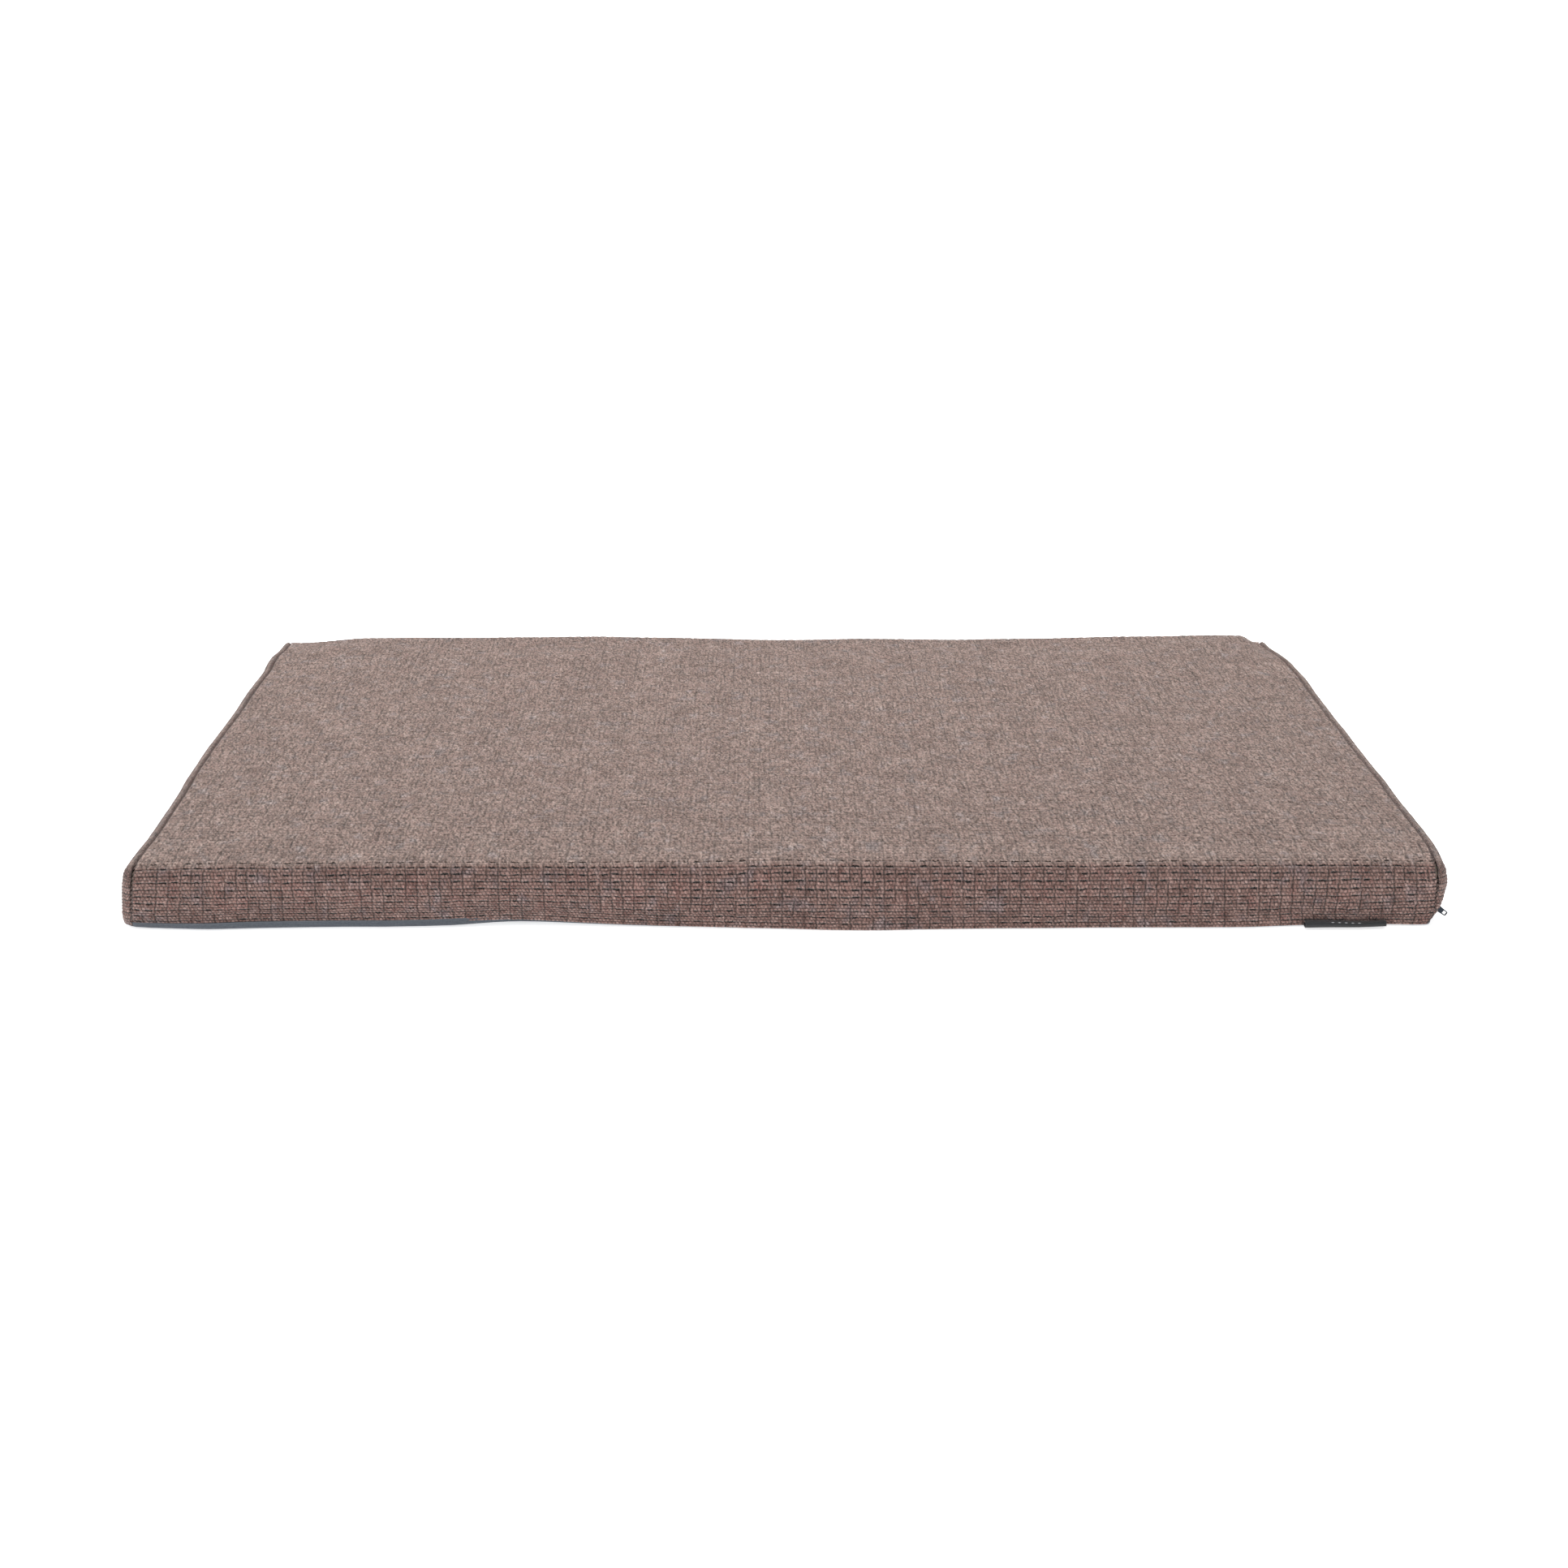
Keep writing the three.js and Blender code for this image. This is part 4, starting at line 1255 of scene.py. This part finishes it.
def chenille_material():
    """Thick chenille in a basket rib: soft picks in pairs, gaps between the rows painted dark as painted shade, mixed
    taupe, rose and grey yarns, with painted light and shade on the loops and upright faces painted darker and redder.
    """
    k = Nodes("chenille_weave")
    at, u, v, g = k.attr()
    mmv = k.vec(k.mul(u, COL), k.mul(v, ROW), 0.0)

    def shifted(x, y, z=0.0):
        return k.node("ShaderNodeVectorMath", [mmv, (x, y, z)], operation="ADD")

    # where the cloth lies flat the pile is combed over the weave and hides most of it
    geo = k.nt.nodes.new("ShaderNodeNewGeometry")
    nz = k.nt.nodes.new("ShaderNodeSeparateXYZ")
    k.nt.links.new(geo.outputs["Normal"], nz.inputs[0])
    lying = k.step(0.55, 0.97, nz.outputs[2])
    upright = k.sub(1.0, lying)
    # the picks wander a little
    wander = k.noise(shifted(77.0, 3.0), 0.16, 2.0, 0.5)
    wander2 = k.noise(shifted(5.0, 91.0), 0.16, 2.0, 0.5)
    fuzz = k.noise(mmv, 0.8, 1.0, 0.5)
    fuzz2 = k.noise(shifted(31.0, 17.0, 5.0), 0.8, 1.0, 0.5)
    by_row = k.map(0, 1, k.white(k.vec(k.m("FLOOR", v), 0.5, 17.0)), -0.035, 0.035)
    uw = k.add(k.add(u, by_row), k.add(k.map(0.25, 0.75, fuzz, -0.035, 0.035), k.map(0.25, 0.75, wander2, -0.08, 0.08)))
    vw = k.add(v, k.add(k.map(0.25, 0.75, fuzz2, -0.06, 0.06), k.map(0.25, 0.75, wander, -0.09, 0.09)))
    iu, fu = k.m("FLOOR", uw), k.m("FRACT", uw)
    iv, fv = k.m("FLOOR", k.add(vw, 0.5)), k.m("FRACT", vw)
    ir = k.m("FLOOR", vw)
    du = k.m("ABSOLUTE", k.sub(fu, 0.5))
    dv = k.m("ABSOLUTE", k.sub(fv, 0.5))
    half = k.m("FLOOR", k.mul(uw, 2.0))
    r_cell = k.white(k.vec(iu, iv, 3.0))
    # grooves between the columns, some of them faint
    r_line = k.white(k.vec(k.m("FLOOR", k.add(uw, 0.5)), k.m("FLOOR", k.mul(vw, 0.45)), 8.0))
    groove = k.mul(k.step(0.385, 0.475, du), k.map(0.15, 0.6, r_line, 0.10, 1.0))
    # slanting loops of pile along each pick, three to a column, set off from one pick to the next
    p = k.mul(vw, 2.0)
    ip, fp = k.m("FLOOR", p), k.m("FRACT", p)
    q = k.add(k.add(k.mul(uw, 3.0), k.mul(k.m("MODULO", ip, 2.0), 0.40)), k.mul(fp, 0.22))
    iq, fq = k.m("FLOOR", q), k.m("FRACT", q)
    dq = k.m("ABSOLUTE", k.sub(fq, 0.5))
    dp = k.m("ABSOLUTE", k.sub(fp, 0.5))
    r_loop = k.white(k.vec(iq, ip, 1.0))
    r_tick = k.white(k.vec(iq, ip, 2.0))
    r_pick = k.white(k.vec(iq, k.m("FLOOR", k.add(p, 0.5)), 13.0))
    # the line under each pick, broken up loop by loop, and the deeper one between rows
    line = k.mul(k.step(0.26, 0.47, dp), k.map(0.2, 0.9, r_pick, 0.0, 1.0))
    row = k.mul(k.step(0.34, 0.47, dv), k.map(0.15, 0.9, r_pick, 0.2, 1.0))
    between = k.mul(k.step(0.29, 0.48, dq), k.map(0.2, 0.9, r_tick, 0.1, 1.0))
    crown = k.mul(k.sub(1.0, k.mul(k.mul(dq, dq), 4.0)), k.sub(1.0, k.mul(k.mul(dp, dp), 4.0)))
    # gaps where the rows meet
    wide = k.map(0, 1, r_cell, 0.20, 0.36)
    gu = k.node(
        "ShaderNodeMapRange",
        {"Value": du, "From Min": k.sub(wide, 0.08), "From Max": wide, "To Min": 1.0, "To Max": 0.0},
        interpolation_type="SMOOTHSTEP",
    )
    gv = k.step(0.33, 0.45, dv)
    gap = k.m("MULTIPLY", k.mul(gu, gv), k.mul(g, k.map(0.05, 0.8, r_cell, 0.30, 1.30)), clamp=True)
    # pile tips: small upright dashes where the cloth lies flat
    tips = k.noise(k.vec(k.mul(u, COL * 0.58), k.mul(v, ROW * 0.22), 6.0), 1.0, 1.0, 0.6)
    fine = k.noise(mmv, 0.85, 2.0, 0.7)
    tip = k.add(k.mul(k.map(0.3, 0.7, tips, -1.0, 1.0), lying), k.mul(k.map(0.3, 0.7, fine, -1.0, 1.0), k.add(0.35, k.mul(upright, 0.5))))
    grain = k.noise(shifted(9.0, 40.0, 2.0), 2.6, 2.0, 0.7)
    # short slanting dashes of pile with a random lightness each
    tv = k.mul(v, ROW / 4.9)
    tu = k.add(k.mul(u, COL / 2.05), k.add(k.mul(tv, 0.45), k.mul(k.white(k.vec(k.m("FLOOR", tv), 3.0, 3.0)), 1.0)))
    dash = k.white(k.vec(k.m("FLOOR", tu), k.m("FLOOR", tv), 33.0))
    dash_u = k.m("ABSOLUTE", k.sub(k.m("FRACT", tu), 0.5))
    dash = k.mul(k.map(0, 1, dash, -1.0, 1.0), k.step(0.5, 0.25, dash_u, 0.35, 1.0))
    tip = k.add(k.mul(tip, 0.9), k.mul(k.mul(dash, 0.62), lying))
    # thin shadow lines between ribs, broken along their length
    u2 = k.add(k.mul(u, 2.0), k.map(0.25, 0.75, k.noise(k.vec(k.mul(u, COL * 0.2), k.mul(v, ROW * 0.05), 3.0), 1.0, 2.0, 0.6), -0.22, 0.22))
    d2 = k.m("ABSOLUTE", k.sub(k.m("FRACT", u2), 0.5))
    r_rib = k.white(k.vec(k.m("FLOOR", k.add(u2, 0.5)), k.m("FLOOR", k.add(k.mul(v, 0.17), k.mul(k.white(k.vec(k.m("FLOOR", k.add(u2, 0.5)), 2.0, 2.0)), 9.0))), 21.0))
    rib = k.mul(k.mul(k.step(0.26, 0.46, d2), k.step(0.35, 0.95, r_rib)), k.mul(lying, k.map(0.35, 0.65, tips, 0.35, 1.0)))
    # height
    h = k.mul(crown, k.map(0, 1, r_loop, 0.35, 0.70))
    h = k.sub(h, k.mul(line, 0.34))
    h = k.sub(h, k.mul(row, 0.35))
    h = k.sub(h, k.mul(between, 0.36))
    h = k.sub(h, k.mul(groove, 0.50))
    h = k.mul(h, k.sub(1.0, k.mul(lying, 0.55)))
    h = k.sub(h, k.mul(gap, 1.0))
    h = k.sub(h, k.mul(rib, 0.35))
    h = k.add(h, k.add(k.mul(tip, 0.20), k.mul(grain, 0.14)))
    k.bump(h, 0.0012, 1.0)
    # yarn colours run along the columns, half a column wide
    rib_r = k.white(k.vec(half, 5.0, 5.0))
    run = k.noise(k.vec(k.mul(half, 7.31), k.add(k.mul(v, 0.30), k.mul(rib_r, 40.0)), 0.0), 1.0, 2.0, 0.6)
    third = k.m("FLOOR", k.mul(uw, 3.0))
    r_third = k.white(k.vec(third, ir, 4.0))
    broad = k.noise(shifted(200.0, 90.0), 0.030, 3.0, 0.6)
    patch = k.noise(shifted(500.0, 70.0, 3.0), 0.055, 3.0, 0.62)
    tone = k.mul(k.sub(run, 0.5), 0.50)
    tone = k.add(tone, k.mul(k.mul(k.sub(r_loop, 0.5), 0.34), k.add(0.35, k.mul(upright, 0.65))))
    tone = k.add(tone, k.mul(k.mul(k.sub(r_third, 0.5), 0.26), k.add(0.35, k.mul(upright, 0.65))))
    tone = k.add(tone, k.mul(k.sub(broad, 0.5), 0.42))
    tone = k.add(tone, k.mul(k.sub(fine, 0.5), 0.35))
    tone = k.m("ADD", tone, 0.5, clamp=True)
    warm = k.ramp(
        tone,
        [
            (0.0, lin(92, 72, 66)),
            (0.3, lin(122, 101, 94)),
            (0.55, lin(144, 122, 114)),
            (0.8, lin(164, 143, 135)),
            (1.0, lin(186, 166, 158)),
        ],
    )
    cool = k.ramp(
        tone,
        [(0.0, lin(82, 76, 80)), (0.5, lin(130, 124, 128)), (1.0, lin(172, 168, 170))],
    )
    rose = k.ramp(
        tone,
        [(0.0, lin(98, 64, 60)), (0.5, lin(150, 112, 105)), (1.0, lin(188, 150, 142))],
    )
    tint = k.add(k.mul(patch, 0.7), k.mul(run, 0.3))
    col = k.mix(k.mul(k.step(0.52, 0.66, tint), k.map(0, 1, upright, 0.35, 0.50)), warm, cool)
    # painted shade: the rose tint is painted stronger on upright faces than on the flat top
    col = k.mix(k.mul(k.step(0.50, 0.36, tint), k.map(0, 1, upright, 0.10, 0.36)), col, rose)
    # painted light and shade: a painted highlight on the loops' tops and painted shade in the valleys, grooves and
    # gaps, weaker where the cloth lies flat
    relief = k.map(0, 1, crown, 0.74, 1.52)
    for mask, dark in ((line, 0.30), (row, 0.24), (between, 0.40), (groove, 0.55)):
        relief = k.mul(relief, k.map(0, 1, mask, 1.0, 1.0 - dark))
    relief = k.add(k.mul(relief, upright), k.mul(k.add(0.62, k.mul(relief, 0.38)), lying))
    # the pile tips' spread of lightness, wider on the flat top: partly random tone, partly painted shade between the
    # tips
    relief = k.mul(relief, k.node("ShaderNodeMapRange", {"Value": tip, "From Min": -1.0, "From Max": 1.0, "To Min": k.map(0, 1, upright, 0.44, 0.66), "To Max": k.map(0, 1, upright, 1.56, 1.34)}))
    # painted shade in the gaps and along the lines between the ribs
    for mask, dark in ((gap, 0.92), (rib, 0.36)):
        relief = k.mul(relief, k.map(0, 1, mask, 1.0, 1.0 - dark))
    relief = k.mul(relief, k.map(0.25, 0.75, grain, 0.90, 1.10))
    # painted shade: upright faces are painted darker and redder than the flat top, which is painted a little lighter;
    # this painted light and shade multiplies the colour
    painted_facing_shade_red = k.map(0, 1, upright, 1.02, 0.76)
    painted_facing_shade_green_blue = k.map(0, 1, upright, 1.055, 0.675)
    grey = k.node("ShaderNodeCombineColor", [k.mul(relief, painted_facing_shade_red), k.mul(relief, painted_facing_shade_green_blue), k.mul(relief, painted_facing_shade_green_blue)])
    col = k.mix(1.0, col, grey, "MULTIPLY")
    return k.finish(
        col, 0.95, sheen=0.32, sheen_rough=0.5, sheen_tint=(0.80, 0.80, 0.78, 1.0), spec=0.08
    )


def base_material():
    """Coated plain-weave base cloth, slate."""
    k = Nodes("slate_base_cloth")
    at, x, y, z = k.attr()
    wu, wv = k.mul(x, 1.0 / 0.9), k.mul(y, 1.0 / 0.9)
    iu, iv = k.m("FLOOR", wu), k.m("FLOOR", wv)
    fu, fv = k.m("FRACT", wu), k.m("FRACT", wv)
    par = k.m("MODULO", k.add(iu, iv), 2.0)
    hu = k.m("SINE", k.mul(fu, math.pi))
    hv = k.m("SINE", k.mul(fv, math.pi))
    over = k.add(k.mul(hu, par), k.mul(hv, k.sub(1.0, par)))
    r = k.white(k.vec(iu, iv, 0.0))
    soft = k.noise(at, 0.03, 3.0, 0.55)
    fine = k.noise(at, 0.6, 2.0, 0.6)
    tone = k.add(k.mul(over, 0.35), k.add(k.mul(soft, 0.45), k.mul(r, 0.2)))
    col = k.ramp(tone, [(0.0, lin(44, 49, 56)), (0.55, lin(70, 76, 84)), (1.0, lin(92, 98, 106))])
    k.bump(k.add(k.mul(over, 0.6), k.mul(fine, 0.4)), 0.00018, 0.7)
    rough = k.map(0, 1, soft, 0.5, 0.72)
    return k.finish(col, rough, sheen=0.15, sheen_rough=0.5, spec=0.4)


def foam_material():
    k = Nodes("open_cell_foam")
    co = k.object_co()
    vor = k.node("ShaderNodeTexVoronoi", {"Vector": co, "Scale": 620.0}, out=0, feature="F1")
    big = k.noise(co, 9.0, 3.0, 0.6)
    col = k.ramp(k.add(k.mul(vor, 0.5), k.mul(big, 0.6)), [(0.0, lin(176, 165, 140)), (0.5, lin(218, 210, 190)), (1.0, lin(232, 226, 210))])
    k.bump(vor, 0.0006, 0.6)
    return k.finish(col, 0.95, spec=0.1, sheen=0.1)


def thread_material(name, rgb, scale=2600.0):
    """Twisted sewing thread."""
    k = Nodes(name)
    co = k.object_co()
    w = k.node(
        "ShaderNodeTexWave",
        {"Vector": co, "Scale": scale / 6.0, "Distortion": 1.2, "Detail": 1.0},
        out=1,
        wave_type="BANDS",
        bands_direction="DIAGONAL",
    )
    n = k.noise(co, 900.0, 2.0, 0.6)
    dark = tuple(c * 0.55 for c in rgb[:3]) + (1.0,)
    light = tuple(min(c * 1.35, 1.0) for c in rgb[:3]) + (1.0,)
    col = k.ramp(k.add(k.mul(w, 0.5), k.mul(n, 0.5)), [(0.0, dark), (0.5, rgb), (1.0, light)])
    k.bump(w, 0.00008, 0.6)
    return k.finish(col, 0.7, sheen=0.3, spec=0.3)


def tape_material():
    """Woven polyester zip tape, herringbone."""
    k = Nodes("zip_tape_herringbone")
    at, u, y, v = k.attr()
    au = k.m("ABSOLUTE", u)
    band = k.m("FLOOR", k.mul(au, 0.8))
    flip = k.sub(k.mul(k.m("MODULO", band, 2.0), 2.0), 1.0)
    d = k.add(k.mul(y, 1.6), k.mul(k.mul(au, 1.6), flip))
    rib = k.m("ABSOLUTE", k.m("SINE", k.mul(d, math.pi)))
    n = k.noise(at, 0.8, 2.0, 0.6)
    col = k.ramp(k.add(k.mul(rib, 0.6), k.mul(n, 0.4)), [(0.0, lin(28, 31, 36)), (0.6, lin(50, 55, 62)), (1.0, lin(70, 76, 84))])
    k.bump(rib, 0.00016, 0.7)
    return k.finish(col, 0.72, sheen=0.15, spec=0.3)


def coil_material():
    k = Nodes("nylon_coil")
    co = k.object_co()
    n = k.noise(co, 300.0, 2.0, 0.5)
    col = k.ramp(n, [(0.3, lin(30, 34, 39)), (0.7, lin(48, 53, 60))])
    k.bump(n, 0.00003, 0.3)
    return k.finish(col, k.map(0.3, 0.7, n, 0.28, 0.42), spec=0.5)


def metal_material():
    """Lacquered zinc, its colour and roughness varying in fine noise."""
    k = Nodes("lacquered_zip_metal")
    co = k.object_co()
    n = k.noise(co, 420.0, 4.0, 0.65)
    s = k.noise(k.node("ShaderNodeMapping", {"Vector": co, "Scale": (1.0, 9.0, 1.0)}), 900.0, 2.0, 0.6)
    col = k.ramp(n, [(0.30, lin(26, 32, 41)), (0.62, lin(40, 48, 58)), (0.78, lin(84, 92, 102))])
    rough = k.map(0.3, 0.7, s, 0.26, 0.48)
    k.bump(s, 0.00003, 0.4)
    return k.finish(col, rough, metallic=0.55, spec=0.5)


def label_material():
    """Woven satin ribbon: fine ribs, a selvedge at each end and a row of small plain lozenges."""
    k = Nodes("woven_label_ribbon")
    at, x, a, z = k.attr()
    rib = k.m("ABSOLUTE", k.m("SINE", k.mul(a, math.pi / 0.42)))
    warp = k.m("ABSOLUTE", k.m("SINE", k.mul(x, math.pi / 0.5)))
    n = k.noise(at, 0.7, 3.0, 0.6)
    tone = k.add(k.mul(rib, 0.35), k.add(k.mul(warp, 0.15), k.mul(n, 0.5)))
    col = k.ramp(tone, [(0.1, lin(8, 9, 11)), (0.55, lin(15, 17, 20)), (1.0, lin(30, 33, 37))])
    # lozenges: |dx| + |da| under a size, five of them about the middle of the upper side
    mid = 0.5 * (float(label_lo[0]) + float(label_hi[0]))
    rx = k.sub(x, mid)
    cellx = k.m("ROUND", k.mul(rx, 1 / 5.0))
    inrow = k.m("LESS_THAN", k.m("ABSOLUTE", cellx), 2.5)
    dx = k.m("ABSOLUTE", k.sub(rx, k.mul(cellx, 5.0)))
    da = k.m("ABSOLUTE", k.sub(a, 6.6))
    dist = k.add(k.mul(dx, 1 / 1.5), k.mul(da, 1 / 1.0))
    mark = k.mul(k.step(1.0, 0.8, dist), inrow)
    edge = k.step(0.5, 0.2, k.m("MINIMUM", k.sub(x, float(label_lo[0])), k.sub(float(label_hi[0]), x)))
    col = k.mix(k.mul(mark, 0.85), col, lin(188, 190, 192))
    col = k.mix(k.mul(edge, 0.3), col, lin(90, 94, 98))
    k.bump(k.add(k.mul(rib, 0.6), k.mul(warp, 0.4)), 0.00008, 0.6)
    return k.finish(col, k.map(0, 1, n, 0.38, 0.62), spec=0.45, sheen=0.15)


def care_material():
    k = Nodes("care_satin_white")
    at, x, y, z = k.attr()
    rib = k.m("ABSOLUTE", k.m("SINE", k.mul(y, math.pi / 0.4)))
    n = k.noise(at, 0.3, 3.0, 0.6)
    line = k.m("LESS_THAN", k.m("ABSOLUTE", k.sub(k.m("FRACT", k.mul(y, 1 / 4.0)), 0.5)), 0.07)
    mid = k.m("LESS_THAN", k.m("ABSOLUTE", k.sub(x, 18.0)), 13.0)
    col = k.ramp(k.add(k.mul(rib, 0.3), k.mul(n, 0.7)), [(0.0, lin(205, 203, 198)), (1.0, lin(240, 239, 235))])
    col = k.mix(k.mul(k.mul(line, mid), 0.4), col, lin(120, 122, 126))
    k.bump(rib, 0.00006, 0.5)
    return k.finish(col, k.map(0, 1, n, 0.3, 0.5), spec=0.5, sheen=0.1)


CHENILLE = chenille_material()
SLATE = base_material()
FOAM = foam_material()
SEAM_THREAD = thread_material("seam_thread_taupe", lin(104, 84, 78))
BASE_THREAD = thread_material("base_thread_slate", lin(48, 52, 58))
TAPE = tape_material()
COIL = coil_material()
METAL = metal_material()
LABEL = label_material()
CARE = care_material()


def dress(ob, material):
    ob.data.materials.clear()
    ob.data.materials.append(material)


# ---------------------------------------------------------------- riding and replacing
rows = [
    (wrap, CHENILLE, "chenille", ["cover_top_wrap"]),
    (panel_left, CHENILLE, "chenille", ["side_panel_left"]),
    (panel_right, CHENILLE, "chenille", ["side_panel_right"]),
    (seam_thread_left, SEAM_THREAD, "seam_thread", ["side_seam_thread_left"]),
    (seam_thread_right, SEAM_THREAD, "seam_thread", ["side_seam_thread_right"]),
    (base, SLATE, "base_cloth", ["base_panel"]),
    (base_thread, BASE_THREAD, "base_thread", ["base_seam_thread"]),
    (foam, FOAM, "foam", ["foam_core"]),
    (zip_sew_upper, BASE_THREAD, "base_thread", ["zip_stitch_upper"]),
    (zip_sew_lower, BASE_THREAD, "base_thread", ["zip_stitch_lower"]),
    (tape_upper, TAPE, "zip_tape", ["zip_tape_upper"]),
    (tape_lower, TAPE, "zip_tape", ["zip_tape_lower"]),
    (coil_upper, COIL, "zip_coil", ["zip_coil_upper"]),
    (coil_lower, COIL, "zip_coil", ["zip_coil_lower"]),
    (label, LABEL, "label_ribbon", ["loop_label"]),
    (care, CARE, "care_satin", ["care_label"]),
]
for ob, material, slot, stands_for in rows:
    dress(ob, material)
    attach(ob, "cushion")
    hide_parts(*stands_for)

# the metal pieces keep their CAD shapes, with softened edges
for name in ("zip_slider", "zip_pull", "zip_top_stop_upper", "zip_top_stop_lower", "zip_bottom_stop"):
    node = NODES[name]
    w = node.modifiers.new("Weld", "WELD")
    w.merge_threshold = 0.00001
    b = node.modifiers.new("Bevel", "BEVEL")
    b.width = 0.00018
    b.segments = 3
    b.limit_method = "ANGLE"
    b.angle_limit = math.radians(35)
    b.harden_normals = False
    for s_ in node.material_slots:
        s_.material = METAL


# ---------------------------------------------------------------- stage
def build_floor():
    """A wide pale floor that curves up all round into a low wall."""
    prof = [(0.0005, 0.0), (1.0, 0.0), (3.0, 0.0), (6.0, 0.0), (14.0, 0.0), (24.0, 0.0)]
    for a in np.linspace(0, math.pi / 2, 12)[1:]:
        prof.append((24.0 + 4.0 * math.sin(a), 4.0 * (1 - math.cos(a))))
    prof.append((28.0, 11.0))
    prof = np.array(prof) * 1000.0
    turn = np.linspace(0, 2 * math.pi, 73)
    P = np.zeros((len(turn), len(prof), 3))
    P[..., 0] = np.cos(turn)[:, None] * prof[None, :, 0]
    P[..., 1] = np.sin(turn)[:, None] * prof[None, :, 0]
    P[..., 2] = prof[None, :, 1] - 0.02
    ob = make_mesh("studio_floor", P, grid_faces(len(turn), len(prof)))
    k = Nodes("studio_paper")
    co = k.object_co()
    n = k.noise(co, 3.0, 3.0, 0.5)
    pale = k.ramp(n, [(0.0, (0.93, 0.93, 0.935, 1)), (1.0, (0.96, 0.96, 0.96, 1))])
    k.set(k.bsdf.inputs["Emission Color"], pale)
    k.bsdf.inputs["Emission Strength"].default_value = 0.68
    dress(ob, k.finish(pale, 0.95, spec=0.1))
    return ob


build_floor()

world = bpy.data.worlds.new("studio_world")
scene.world = world
world.use_nodes = True
bg = world.node_tree.nodes.get("Background") or world.node_tree.nodes.new("ShaderNodeBackground")
out = world.node_tree.nodes.get("World Output") or world.node_tree.nodes.new("ShaderNodeOutputWorld")
world.node_tree.links.new(bg.outputs[0], out.inputs[0])
bg.inputs["Color"].default_value = (1.0, 1.0, 1.0, 1.0)
bg.inputs["Strength"].default_value = 0.36


def area(name, at, aim, size, energy, size_y=None):
    data = bpy.data.lights.new(name, "AREA")
    data.shape = "RECTANGLE"
    data.size, data.size_y = size, size_y or size
    data.energy = energy
    ob = bpy.data.objects.new(name, data)
    scene.collection.objects.link(ob)
    ob.location = at
    d = Vector(aim) - Vector(at)
    ob.rotation_euler = d.to_track_quat("-Z", "Y").to_euler()
    return ob


area("overhead_softbox", (0.0, 0.5, 3.2), (0.0, 0.0, 0.0), 3.4, 102.0, 2.6)
area("left_softbox", (-2.6, -1.4, 1.9), (0.0, 0.0, 0.0), 1.8, 18.0)
